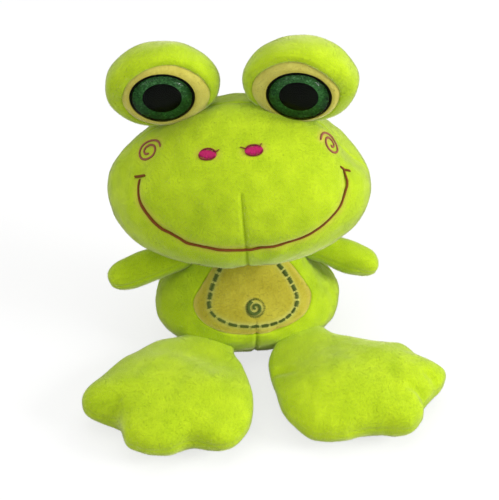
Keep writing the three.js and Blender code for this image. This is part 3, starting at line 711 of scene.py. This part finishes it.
fill_half_width, nostril_rim_height = 0.0040, 0.0026
tail_start, tail_low, tail_high = 0.0036, 0.0014, 0.0022
tail_ends = {1: {1: 0.0046, -1: 0.0054}, -1: {1: 0.0046}}
rim_reach, tail_reach, cheek_reach = 0.00036, 0.00026, 0.00075
for side, name in ((1, "left"), (-1, "right")):
    swell = nostril_half_height * np.sqrt(np.clip(1 - (nostril_line / fill_half_width) ** 2, 0.02, 1))
    nostril = stitched(
        f"nostril_stitches_{name}", [head_to_world(nostril_paths[side])], [swell], head_tree,
        nostril_thread, 72, pitch=0.00036, width=0.00056, height=0.0007, slant=0.12, rise=0.0002,
    )
    turned, middle = np.linspace(0, 2 * math.pi, 80), nostril_places[side]
    rim = on_face(*middle, nostril_half_width * np.cos(turned), nostril_rim_height * np.sin(turned))
    tails = [
        on_face(*middle, way * np.linspace(tail_start, end, 8), np.linspace(tail_low, tail_high, 8))
        for way, end in tail_ends[side].items()
    ]
    edge = stitched(
        f"nostril_outline_{name}", [head_to_world(path) for path in (rim, *tails)],
        [rim_reach] + [tail_reach] * len(tails), head_tree, nostril_edge_thread, 73, height=0.0005, slant=0.7,
    )
    cheek = stitched(
        f"cheek_spiral_stitches_{name}", [head_to_world(cheek_paths[side])], [cheek_reach], head_tree,
        cheek_thread, 74, slant=0.8,
    )
    for piece in (nostril, edge, cheek):
        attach(piece, "head")
    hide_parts(f"nostril_stitching_{name}")
    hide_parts(f"cheek_spiral_stitching_{name}")


# Eye pods: two stuffed domes of the green plush on the crown. Each hood's brim is rolled in
# round an oval patch of yellow plush, which holds the eye and is drawn in a little at its rim.
warm_sheen = (1.0, 0.96, 0.6, 1)
yellow_plush = plush(
    "yellow_plush", (0.50, 0.43, 0.060, 1), (0.72, 0.68, 0.15, 1), (0.60, 0.36, 0.05, 1), warm_sheen
)
yellow_fibres = fibres_of("yellow", (0.56, 0.47, 0.045, 1), (0.70, 0.62, 0.080, 1), (0.82, 0.76, 0.16, 1))
pod_half_width, pod_front, pod_back = 0.0255, 0.0086, 0.019
pod_half_height = (0.0217, 0.0203)  # below and above the middle
pod_front_fullness, pod_back_fullness = 3.0, 2.0
pod_splay, pod_lean = 5, 103
pod_middles = {1: np.array([0.0309, -0.005, 0.0866]), -1: np.array([-0.0308, -0.005, 0.0870])}
patch_half_width, patch_half_height, patch_inward, patch_tuck = 0.0197, 0.0186, 0.0016, 0.0006
brim, brim_swell, brow_swell, brim_rise, brow_rise = 0.0014, 0.0004, 0.0008, 0.0006, 0.0010
eye_lifts, eye_hole, eye_seat, patch_puff = {1: -0.0007, -1: 0.0012}, 0.0146, 0.0096, 0.0008


def pod_frame(side):
    """The turn and the middle of one pod, whose own Z looks out of its eye"""
    matrix = head_matrix @ turn("z", -pod_splay * side) @ turn("x", pod_lean)
    return matrix, head_to_world(pod_middles[side])


def pod_place(a, t):
    ahead = (t - 0.5) * math.pi
    fullness = np.where(ahead < 0, pod_back_fullness, pod_front_fullness)
    out = rounded(np.cos(ahead), fullness)
    rise = rounded(np.sin(ahead), fullness) * np.where(ahead < 0, pod_back, pod_front)
    high = np.where(np.sin(a) < 0, *pod_half_height)
    return np.stack([pod_half_width * out * np.cos(a), high * out * np.sin(a), rise], -1)


def smooth(value, low, high):
    """0 below low, 1 above high and an even passage between"""
    share = np.clip((value - low) / (high - low), 0, 1)
    return share * share * (3 - 2 * share)


def hood_rows(side, around, rings):
    """The hood of a pod in its own frame, with its brim rolled in round the patch"""
    a = round_angles(around)
    wide, high, middle = patch_half_width + 0.5 * brim, patch_half_height + 0.5 * brim, -side * patch_inward
    x, y = pod_half_width * np.cos(a) / wide, np.where(np.sin(a) < 0, *pod_half_height) * np.sin(a) / high
    # The share of the way out at which the dome meets the patch's edge, an oval off its middle
    half, far = x * middle / wide, (middle / wide) ** 2 - 1
    out = np.minimum((half + np.sqrt(half ** 2 - (x ** 2 + y ** 2) * far)) / (x ** 2 + y ** 2), 0.985)
    edge = 0.5 + np.arccos(out ** (pod_front_fullness / 2)) / math.pi
    u = np.linspace(0, 1, rings + 1)[:, None]
    rows = pod_place(np.broadcast_to(a, (rings + 1, around)), u * edge)
    upper = np.clip(np.sin(a), 0, 1)
    rows = rows + facing(rows) * (smooth(u, 0.55, 0.93) * (brim_swell + brow_swell * upper))[..., None]
    rows[..., 2] += smooth(u, 0.70, 1.0) * (brim_rise + brow_rise * upper)
    ahead = rows[-1] - rows[-2]
    ahead /= np.linalg.norm(ahead, axis=-1, keepdims=True)
    across = np.cross(np.roll(rows[-1], -1, 0) - np.roll(rows[-1], 1, 0), ahead)
    across /= np.linalg.norm(across, axis=-1, keepdims=True)
    rolled, roll_steps = 1.05 * math.pi, 12
    roll = [
        rows[-1] + brim * (across * (math.cos(turned) - 1) + ahead * math.sin(turned))
        for turned in np.linspace(0, rolled, roll_steps)[1:]
    ]
    pole = np.array([0, 0, 0.002])
    inside = [roll[-1] + (pole - roll[-1]) * share for share in (0.3, 0.65, 1.0)]
    return np.concatenate([rows, np.stack(roll + inside)])


def patch_rows(side, around, rings):
    """The patch in the pod's frame: out from its middle over the front and back underneath"""
    a, lift = -round_angles(around), eye_lifts[side]
    edge_x = (patch_half_width + patch_tuck) * np.cos(a) - side * patch_inward
    edge_y = (patch_half_height + patch_tuck) * np.sin(a)
    rim = eye_hole / np.hypot(edge_x, edge_y - lift)
    hollow, backing = -0.0030, -0.0016
    inner = [(rim * k, hollow) for k in (0, 0.5, 0.9, 0.985)]
    outer = [(rim + (1 - rim) * k, 0.0) for k in np.linspace(0, 1, rings)]
    under = [(k + 0 * rim, backing) for k in (0.8, 0.6, 0.4, 0.2, 0.0)]
    rows = []
    for share, sunk in inner + outer + under:
        x, y = edge_x * share, edge_y * share + lift * (1 - share)
        out = np.hypot(x / pod_half_width, y / np.where(y < 0, *pod_half_height))
        rise = pod_front * np.clip(1 - out ** pod_front_fullness, 0, 1) ** (1 / pod_front_fullness) - 0.0004
        puff = np.clip((share - rim) / (1.0 - rim), 0, 1)
        rise = rise + (eye_seat - rise) * (1 - puff) ** 1.4 + patch_puff * np.sin(math.pi * puff)
        rows.append(np.stack([x, y, rise + sunk], -1))
    return np.stack(rows)


def fold(points, tree, width):
    """1 where a surface meets another, falling off to 0 over about width"""
    far = 1.0
    flat = points.reshape(-1, 3)
    gaps = np.array([(tree.find_nearest(Vector(p), 3 * width)[3] or far) for p in flat])
    return ridge(gaps, width).reshape(points.shape[:-1])


for side, name in ((1, "left"), (-1, "right")):
    matrix, middle = pod_frame(side)
    hood = hood_rows(side, 240, 110) @ matrix.T + middle
    hood = hood + facing(hood) * (0.0004 * lumps(hood, 0.016, 20 + side))[..., None]
    meet = fold(hood, head_tree, 0.0020)
    hood = hood - facing(hood) * (0.0008 * meet)[..., None]
    # Painted shade where the hood meets the head.
    hood_cover = skin(f"eye_hood_cover_{name}", hood, green_plush, seam=0.9 * meet, pile=1 - 0.6 * meet)
    hood_pile = pile(f"eye_hood_pile_{name}", hood_cover, green_fibres, 21 + side)
    patch = patch_rows(side, 160, 40)
    from_eye = np.hypot(patch[..., 0], patch[..., 1] - eye_lifts[side])
    rim_fold = ridge(from_eye - 0.0148, 0.0010)
    shown = smooth(from_eye, 0.0144, 0.0152)
    patch = patch @ matrix.T + middle
    # Painted shade in the fold at the patch's rim round the eye.
    patch_cover = skin(f"eye_patch_cover_{name}", patch, yellow_plush, seam=rim_fold, pile=shown)
    patch_pile = pile(f"eye_patch_pile_{name}", patch_cover, yellow_fibres, 24 + side)
    for piece in (hood_cover, hood_pile, patch_cover, patch_pile):
        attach(piece, "head")
    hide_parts(f"eye_hood_{name}", f"eye_pod_stuffing_{name}")
    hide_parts(f"eye_patch_{name}")


# Safety eyes: a clear moulded dome over a round black pupil and a disc of green glitter film, in a
# black cup. A post runs through the patch to a white locking washer inside the pod.
def moulded_plastic(name, deep, mid, roughness, speckle, specular):
    """Moulded plastic with a faint grain"""
    material, graph = finish(name)
    grain = graph.noise(speckle, place=graph.node("ShaderNodeTexCoord", output="Object"))
    graph.show(graph.node("ShaderNodeBsdfPrincipled", {}, {
        "Base Color": graph.mix(grain, deep, mid), "Roughness": roughness + grain * 0.1,
        "Specular IOR Level": specular,
    }))
    return material


black_plastic = moulded_plastic(
    "black_plastic", (0.001, 0.0015, 0.001, 1), (0.003, 0.004, 0.003, 1), roughness=0.35, speckle=900.0,
    specular=0.03,
)
white_plastic = moulded_plastic(
    "white_plastic", (0.74, 0.74, 0.72, 1), (0.84, 0.84, 0.82, 1), roughness=0.4, speckle=700.0, specular=0.5
)

glitter_film, graph = finish("glitter_film")
place = graph.node("ShaderNodeTexCoord", output="Object")
flake = graph.node("ShaderNodeTexVoronoi", {}, {"Vector": place, "Scale": 1500.0}, output="Color")
cell = graph.node("ShaderNodeSeparateColor", {}, {"Color": flake})
cloud = graph.noise(260.0, place=place)
# Painted glints: each flake's tone is set as if it caught the light at its own angle, and a few flakes get
# bright painted sparks.
painted_sparkle = ((cell - 0.80) * 6).clamped() * (cloud * 1.2)
lit = (cell.also("Green") * 0.8 + cloud * 0.3).clamped()
colour = graph.mix(lit, (0.010, 0.062, 0.014, 1), (0.085, 0.38, 0.070, 1))
colour = graph.mix(painted_sparkle.clamped(), colour, (0.26, 0.70, 0.26, 1))
foil = {"Base Color": colour, "Roughness": 0.35, "Metallic": 0.2}
graph.show(graph.node("ShaderNodeBsdfPrincipled", {}, foil))

clear_plastic, graph = finish("clear_plastic")
glance = graph.node("ShaderNodeFresnel", {}, {"IOR": 1.5})
within = graph.node("ShaderNodeNewGeometry", output="Backfacing")
see_through = graph.node("ShaderNodeBsdfTransparent", {}, {"Color": (0.97, 1.0, 0.98, 1)})
mirror = graph.node("ShaderNodeBsdfGlossy", {}, {"Color": (0.055, 0.055, 0.055, 1), "Roughness": 0.1})
graph.show(graph.between((glance * (1 - within) * 3).clamped(), see_through, mirror))


def lathed(name, profile, around, matrix, middle, material):
    """A turned piece from [radius, height] pairs, which start and end on its own Z"""
    a = round_angles(around)
    rows = [np.stack([r * np.cos(a), r * np.sin(a), 0 * a + z], -1) for r, z in profile]
    return skin(name, np.stack(rows) @ matrix.T + middle, material)


def rounding(centre, radius, start, end, steps=6):
    """Points of a rounded corner, from one angle to another"""
    return [
        (centre[0] + radius * math.cos(math.radians(a)), centre[1] + radius * math.sin(math.radians(a)))
        for a in np.linspace(start, end, steps)
    ]


post_radius, post_end = 0.0024, -0.0026
cup_profile = [(0, post_end), (post_radius, post_end), (post_radius, 0.0074)]
cup_profile += rounding((0.0139, 0.0079), 0.0005, -90, 0) + rounding((0.0138, 0.0091), 0.0006, 0, 90)
cup_profile += [(0.0134, 0.0097), (0.0133, 0.0082), (0, 0.0082)]
disc_radius, disc_back, disc_front = 0.01325, 0.0085, 0.0094
disc_profile = [(0, disc_back), (disc_radius, disc_back), (disc_radius, disc_front), (0, disc_front)]
pupil_radius, pupil_middle = 0.0086, 0.0095
pupil_profile = [(0, 0.00945)] + rounding((pupil_radius, pupil_middle), 0.00008, -90, 90, 4) + [(0, 0.00958)]
dome_radius, dome_back, dome_rise = 0.0134, 0.00965, 0.0057
dome_profile = [(0, dome_back), (0.0133, dome_back)] + [
    (dome_radius * math.cos(u), dome_back + dome_rise * math.sin(u))
    for u in np.linspace(0.02, math.pi / 2, 40)
]
for side, name in ((1, "left"), (-1, "right")):
    matrix, middle = pod_frame(side)
    middle = middle + matrix @ np.array([0, eye_lifts[side], 0])
    for node, making, profile, around, material, slot in (
        ("eye_cup", "turned", cup_profile, 96, black_plastic, "black_plastic"),
        ("eye_glitter_disc", "cut", disc_profile, 96, glitter_film, "glitter_film"),
        ("eye_pupil", "moulded", pupil_profile, 96, black_plastic, "black_plastic"),
        ("eye_dome", "moulded", dome_profile, 128, clear_plastic, "clear_plastic"),
    ):
        piece = lathed(f"{node}_{name}_{making}", profile, around, matrix, middle, material)
        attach(piece, "head")
        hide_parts(f"{node}_{name}")
    washer = frame["nodes"][f"eye_washer_{name}"].data
    washer.materials.clear()
    washer.materials.append(white_plastic)


# Body: a pear of the same green plush over stuffing, with a pouch of pellets in its seat. Two
# panels meet in seams down its sides, and a short seam runs up the front from the seat.
body_half_width, body_front, body_back, body_height, body_sag = 0.046, 0.038, 0.036, 0.057, 0.0005
body_outline = np.array([  # shares of the half width and of the height
    [0, 0], [0.6, 0.02], [0.90, 0.15], [1.01, 0.34], [0.90, 0.57], [0.72, 0.73], [0.57, 0.86], [0.41, 0.95],
    [0, 1],
])
body_around, body_rings = 360, 180
belly_half_width, belly_drop, belly_rise, belly_middle, belly_fullness = 0.031, 0.014, 0.038, 0.57, 2.4
arm_root, arm_root_radius = np.array([0.0293, 0, 0.0485]), 0.0105
resting = 0.0002  # the table flattens cloth at this height


def body_place(a, t):
    line = catmull(body_outline, t)
    tucked = body_front * (1 - 0.06 * smooth(0.36 - line[..., 1], 0, 0.36))
    depth = np.where(np.sin(a) < 0, tucked, body_back)
    return np.stack([
        line[..., 0] * body_half_width * np.cos(a), line[..., 0] * depth * np.sin(a),
        line[..., 1] * (body_height + body_sag) - body_sag,
    ], -1)


def belly_rate(a_step, t_step):
    """How far the body's surface runs at the belly's middle, for one unit of a or of t"""
    ends = [
        body_place(np.array(k * a_step - math.pi / 2), np.array(belly_middle + k * t_step)) for k in (1, -1)
    ]
    return np.linalg.norm(ends[0] - ends[1]) / (2 * (a_step + t_step))


step = 1e-3
body = grid(body_place, body_around, body_rings)
turned, raised = np.meshgrid(round_angles(body_around), np.linspace(0, 1, body_rings + 1))
across = (turned - 1.5 * math.pi) * belly_rate(step, 0) / belly_half_width
up = (raised - belly_middle) * belly_rate(0, step)
across, up = np.abs(across), np.abs(up / np.where(up > 0, belly_rise, belly_drop))
from_belly = (across ** belly_fullness + up ** belly_fullness) ** (1 / belly_fullness)
under_patch = smooth(1.0 - from_belly, -0.03, 0.02)
front = np.clip(-body[..., 1] / 0.01, 0, 1)
seat_seam = ridge(body[..., 0], 0.0009) * front * smooth(-body[..., 2], -0.030, -0.024)
side_seam = ridge(body[..., 1] - 0.004, 0.0009) * smooth(body[..., 2], 0.002, 0.006)
from_roots = [np.linalg.norm(body - arm_root * (s, 1, 1), axis=-1) for s in (-1, 1)]
roots = sum(ridge(gap, arm_root_radius, 4) for gap in from_roots)
grow = 0.0007 * lumps(body, 0.024, 7) + 0.0002 * lumps(body, 0.008, 8)
grow -= 0.0010 * seat_seam + 0.0008 * side_seam + 0.0010 * roots + 0.0012 * under_patch
body_dent_width = 0.015
body_dents = (
    (0.0052, (0.044, -0.004, 0.035)), (0.0016, (-0.043, -0.004, 0.038)), (-0.0030, (0.037, -0.008, 0.012)),
    (-0.0014, (-0.038, -0.008, 0.012)),
)
for depth, place in body_dents:
    grow -= depth * ridge(np.linalg.norm(body - np.array(place), axis=-1), body_dent_width)
body = body + facing(body) * grow[..., None]
body[..., 2] = np.maximum(body[..., 2], resting)
# Painted shade down the seat seam and the side seams.
body_cover = skin(
    "body_cover", body, green_plush, seam=np.clip(seat_seam + side_seam, 0, 1),
    pile=(1 - 0.7 * seat_seam) * (1 - under_patch),
)
body_pile = pile("body_pile", body_cover, green_fibres, 31)
for piece in (body_cover, body_pile):
    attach(piece, "torso")
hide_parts("body_front_panel", "body_back_panel", "body_stuffing", "pellet_pouch")


# Neck: a short gathered sleeve of the same plush between the body and the head.
neck_radius, neck_waist, neck_back, neck_low, neck_length = 0.0150, 0.0012, 0.001, 0.048, 0.017
gathers, gather_depth = 26, 0.00025
turned, share = np.meshgrid(round_angles(160), np.linspace(0, 1, 41))
closed_in = np.sin(math.pi * np.clip(share * 3, 0, 0.5)) * np.sin(math.pi * np.clip((1 - share) * 3, 0, 0.5))
gathered = gather_depth * np.sin(gathers * turned) * (1 - np.abs(2 * share - 1))
reach = closed_in * (neck_radius - neck_waist * np.sin(math.pi * share) + gathered)
neck = np.stack([
    reach * np.cos(turned), neck_back + reach * np.sin(turned), neck_low + neck_length * share,
], -1)
neck_cover = skin("neck_cover", neck, green_plush, pile=0.8 + 0 * share)
neck_pile = pile("neck_pile", neck_cover, green_fibres, 35)
for piece in (neck_cover, neck_pile):
    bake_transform(piece)


# Belly: an oval patch of the yellow plush set into the front of the body, with a soft edge. Dashes
# of dark green thread frame it, and a small spiral of the same thread is its navel.
def on_belly(across, up, rise=0.0):
    """Points of the body's front at lengths across and up along the cloth from the belly's middle"""
    place, out = step_on(body_place, -math.pi / 2, belly_middle, across, up)
    return place + out * rise


belly_around, belly_rings, belly_top, belly_puff = 280, 70, 0.029, 0.0010
belly_face = np.linspace(0, 1, belly_rings)
face_rings = [(k, belly_puff * (1 - k ** 8) - 0.0005) for k in belly_face]
back_rings = [(k, -0.0018) for k in (0.97, 0.5, 0.0)]
a = -round_angles(belly_around)
edge_rise = np.where(np.sin(a) > 0, belly_rise, belly_drop)
edge_across, edge_up = rounded(np.cos(a), belly_fullness), rounded(np.sin(a), belly_fullness)
edge_share = np.minimum(1, belly_top / np.maximum(edge_rise * edge_up, 1e-6))
rows = []
for share, rise in face_rings + back_rings:
    across, up = belly_half_width * share * edge_share * edge_across, edge_rise * share * edge_share * edge_up
    rows.append(on_belly(across, up, rise))
belly = np.stack(rows)
belly_seam = ridge(belly[..., 0], 0.0008) * smooth(-belly[..., 2], -0.034, -0.026)
grow = 0.0007 * lumps(belly, 0.024, 7) + 0.0002 * lumps(belly, 0.008, 8) - 0.0009 * belly_seam
belly = belly + facing(belly) * grow[..., None]
to_edge = np.concatenate([belly_face, [1, 1, 1]])[:, None] + 0 * a

frame_places = [  # millimetres across and up along the cloth
    (-21.6, 23.0), (-23.0, 17.6), (-23.6, 11.4), (-23.5, 5.9), (-22.7, 1.2), (-21.3, -2.8), (-18.6, -6.2),
    (-14.5, -8.3), (-9.6, -9.7), (-4.8, -10.3), (-0.4, -10.6), (3.6, -10.8), (7.4, -10.7), (11.1, -10.2),
    (14.3, -9.2), (17.2, -7.6), (19.6, -5.1), (21.0, -1.7), (21.7, 2.1), (21.8, 6.5), (21.3, 11.2),
    (20.4, 16.2), (19.0, 21.5),
]


def on_frame(share):
    """Points of the line that the dashes follow, at shares of its length in spans"""
    return on_belly(*(catmull(frame_places, share) / 1000).T)


frame_line = on_frame(np.linspace(0, 1, 900))
navel_drop, fringe_radius = 0.0025, 0.0042
coil_across, coil_up = spiral(radius=0.0035, turns=1.35, start=120, close=0.95, hurry=1.2, count=120)
coil = on_belly(coil_across, coil_up - navel_drop)
beside = np.clip(near(belly, frame_line, 0.0017) + near(belly, coil, 0.0016), 0, 1)
belly_plush = plush(
    "belly_plush", (0.41, 0.34, 0.022, 1), (0.57, 0.51, 0.055, 1), (0.68, 0.56, 0.12, 1), warm_sheen
)
belly_fibres = fibres_of("belly", (0.48, 0.41, 0.032, 1), (0.54, 0.48, 0.045, 1), (0.61, 0.56, 0.078, 1))
# Painted shade down the front seam at the foot of the belly.
belly_cover = skin(
    "belly_patch_cover", belly, belly_plush, seam=belly_seam, halo=0.7 * smooth(to_edge, 0.86, 1.0),
    pale=beside, pile=(1 - 0.6 * belly_seam) * (1 - 0.8 * beside),
)
belly_pile = pile("belly_patch_pile", belly_cover, belly_fibres, 41)
for piece in (belly_cover, belly_pile):
    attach(piece, "torso")
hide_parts("belly_patch")

belly_thread = thread("belly_thread", (0.060, 0.095, 0.014, 1), (0.13, 0.18, 0.032, 1))
belly_tree = tree_of(belly_cover)
dash_paths, dash_reaches, dash_gaps, dash_half = [], [], len(frame_places) - 1, 0.32
for k in range(len(frame_places)):
    middle, half = k / dash_gaps, dash_half / dash_gaps
    dash_paths.append(on_frame(np.linspace(middle - half, middle + half, 12)))
    dash_reaches.append(0.0009 if 5 < k < 16 else 0.0013)
dashes = stitched(
    "belly_dash_stitches", dash_paths, dash_reaches, belly_tree, belly_thread, 81,
    pitch=0.00052, width=0.00062, height=0.00045,
)
running = stitched(
    "belly_running_thread", [frame_line], [0.00010], belly_tree, belly_thread, 82,
    pitch=0.0006, width=0.0008, height=0.00012, slant=0.2, rise=0.0,
)
navel_reach = 0.00105 - 0.0004 * np.linspace(0, 1, len(coil))
navel = stitched(
    "navel_spiral_stitches", [coil], [navel_reach], belly_tree, belly_thread, 83, slant=0.3, rise=0.0004
)
turned = np.linspace(0, 2 * math.pi, 90)
fringe_line = on_belly(fringe_radius * np.cos(turned), fringe_radius * np.sin(turned) - navel_drop)
fringe = stitched(
    "navel_fringe_stitches", [fringe_line], [0.0006], belly_tree, belly_thread, 84,
    pitch=0.0008, width=0.0004, height=0.00025, rise=0.0002,
)
for piece in (dashes, running, navel, fringe):
    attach(piece, "torso")
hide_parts("belly_dash_stitching")
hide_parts("navel_spiral_stitching")


# Arms: short tapered limbs of the green plush in the side seams, each sewn from an upper and a
# lower panel round its edge.
arm_half_depth, arm_half_height = 0.0085, 0.0081
arm_outline = np.array([  # shares of the half width and of the length
    [0, -0.1], [0.8, 0], [0.95, 0.35], [1, 0.65], [0.85, 0.86], [0.5, 0.97], [0, 1],
])


def arm_place_for(length):
    def place(a, t):
        out, along = np.moveaxis(catmull(arm_outline, t), -1, 0)
        return np.stack([
            arm_half_depth * out * np.cos(a), arm_half_height * out * np.sin(a), length * along,
        ], -1)

    return place


def unit(vector):
    return vector / np.linalg.norm(vector)


def arm_to_world(points, side, forward, droop, root):
    """An arm's own points put in the world: its Z runs along the arm and its Y is up"""
    round_way, down = math.radians(forward), math.tan(math.radians(droop))
    along = unit(np.array([side * math.cos(round_way), -math.sin(round_way), -down]))
    across = unit(np.cross([0, 0, 1], along))
    return points @ np.stack([across, np.cross(along, across), along]) + root


for side, name, forward, droop, length, seam_depth in (
    (1, "left", 10, 23, 0.0398, 0.0002), (-1, "right", 11, 12, 0.0412, 0.0004),
):
    arm = grid(arm_place_for(length), 160, 120)
    arm_seam = ridge(arm[..., 1], 0.0007) * smooth(arm[..., 2], 0.002, 0.008)
    grow = 0.0004 * lumps(arm, 0.012, 50 + side) - seam_depth * arm_seam
    arm = arm_to_world(arm + facing(arm) * grow[..., None], side, forward, droop, sewn_at[f"arm_{name}"])
    # Painted shade along the arm's edge seam.
    arm_cover = skin(f"arm_cover_{name}", arm, green_plush, seam=0.5 * arm_seam, pile=1 - 0.4 * arm_seam)
    arm_pile = pile(f"arm_pile_{name}", arm_cover, green_fibres, 52 + side)
    for piece in (arm_cover, arm_pile):
        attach(piece, f"arm_{name}")
    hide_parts(f"arm_upper_panel_{name}", f"arm_lower_panel_{name}", f"arm_stuffing_{name}")


# Feet: broad pillows of the green plush with three toes, each sewn from a top and a sole panel
# round its edge, on a short leg under the front of the body.
foot_reach, foot_forward, foot_half_thickness, foot_fullness, sole_drop = 0.040, 0.050, 0.0135, 2.35, 0.002447
heel_thinning, heel_front, heel_back = 0.38, -0.050, -0.010
foot_outlines = {  # degrees round from the middle toe, and shares of foot_reach
    1: [
        (-9, 0.79), (8, 0.97), (22, 0.97), (35, 0.92), (45, 1.00), (51, 1.09), (58, 1.16), (64, 1.17),
        (70, 1.09), (79, 0.96), (94, 0.92), (119, 0.74), (148, 0.76), (171, 0.88), (202, 1.04), (220, 0.98),
        (243, 0.88), (270, 0.89), (293, 0.93), (315, 0.82), (333, 0.75),
    ],
    -1: [
        (-9, 0.85), (8, 0.85), (35, 0.72), (45, 0.88), (54, 1.01), (62, 1.03), (69, 0.99), (77, 0.92),
        (94, 0.86), (119, 0.86), (148, 0.95), (171, 0.96), (202, 0.98), (220, 0.96), (243, 0.95), (270, 1.02),
        (293, 0.99), (315, 0.74), (325, 0.76), (333, 0.80),
    ],
}
foot_folds = {  # millimetres from the leg, before the foot is turned out
    1: [
        [(-20.3, -77.6, -1.4), (-14.0, -77.0, 6.6), (-10.4, -73.8, 10.1)],
        [(18.7, -82.6, -1.4), (18.8, -78.6, 4.6), (16.4, -74.9, 8.1)],
        [(-34.2, -70.7, 2.6), (-33.2, -69.7, 4.6)], [(29.9, -75.3, 4.6), (28.9, -73.3, 6.6)],
        [(-25.9, -26.6, 0.6), (-21.7, -31.8, 7.6)],
    ],
    -1: [
        [(-25.9, -72.0, -1.4), (-22.9, -73.5, 4.0), (-17.8, -70.1, 7.6)],
        [(24.0, -73.4, -1.4), (28.3, -70.1, 4.6), (31.9, -68.1, 7.6)],
    ],
}
leg_middle, leg_radii, leg_valley = np.array([0, -0.016, -0.0015]), np.array([0.0135, 0.017, 0.0052]), 0.0020


def foot_place_for(side):
    """A foot's surface from its outline, whose notches fade out away from its edge"""
    points = [
        (share * math.sin(side * math.radians(a)), -share * math.cos(math.radians(a)), 0)
        for a, share in foot_outlines[side][::side]
    ]

    def place(a, t):
        up, turned = (t - 0.5) * math.pi, a / (2 * math.pi)
        out = rounded(np.cos(up), foot_fullness)
        edge = catmull(points, turned, closed=True)
        plain = sum(catmull(points, (turned + k / 40) % 1, closed=True) for k in range(-4, 5)) / 9
        edge = (plain + (edge - plain) * smooth(out, 0.64, 1.0)[..., None]) * foot_reach
        x, y = edge[..., 0] * out, edge[..., 1] * out - foot_forward
        heel = smooth(y, heel_front, heel_back) * (up > 0)
        rise = foot_half_thickness * rounded(np.sin(up), foot_fullness) * (1 - heel_thinning * heel)
        return np.stack([x, y, rise - sole_drop], -1)

    return place


def run_on(points, ways, middle, radii, valley):
    """Points pushed out along their ways over an egg at middle, with a soft valley where the two meet"""
    tries, farthest = 24, 0.020
    moved = np.zeros(points.shape[:-1])
    for _ in range(tries):
        off = points + ways * moved[..., None] - middle
        level = np.linalg.norm(off / radii, axis=-1)
        away = level * (level - 1) / np.maximum(np.linalg.norm(off / radii ** 2, axis=-1), 1e-9)
        gap = -valley * np.logaddexp(-moved / valley, -away / valley)
        moved -= 0.7 * gap
    return points + ways * np.clip(moved, 0, farthest)[..., None]


for side, name, splay in ((1, "left", 28), (-1, "right", -33)):
    foot = grid(foot_place_for(side), 420, 190)
    edge_seam = ridge(foot[..., 2] + sole_drop, 0.0008)
    folds = sum(near(foot, catmull(line, np.linspace(0, 1, 40)) / 1000, 0.0026) for line in foot_folds[side])
    folds = np.clip(folds, 0, 1)
    grow = 0.0006 * lumps(foot, 0.026, 60 + side) + 0.00015 * lumps(foot, 0.009, 63 + side)
    foot = foot + facing(foot) * (grow - 0.00015 * edge_seam - 0.0015 * folds)[..., None]
    foot = run_on(foot, facing(foot), leg_middle, leg_radii, leg_valley)
    foot = foot @ turn("z", splay).T + sewn_at[f"foot_{name}"]
    foot[..., 2] = np.maximum(foot[..., 2], resting)
    # Painted shade in the toe creases, and a little along the edge seam.
    foot_cover = skin(
        f"foot_cover_{name}", foot, green_plush, seam=0.08 * edge_seam + 0.45 * folds,
        pile=1 - 0.2 * edge_seam,
    )
    foot_pile = pile(f"foot_pile_{name}", foot_cover, green_fibres, 66 + side, rows=1.5)
    for piece in (foot_cover, foot_pile):
        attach(piece, f"foot_{name}")
    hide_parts(f"foot_top_panel_{name}", f"foot_sole_panel_{name}", f"foot_stuffing_{name}")
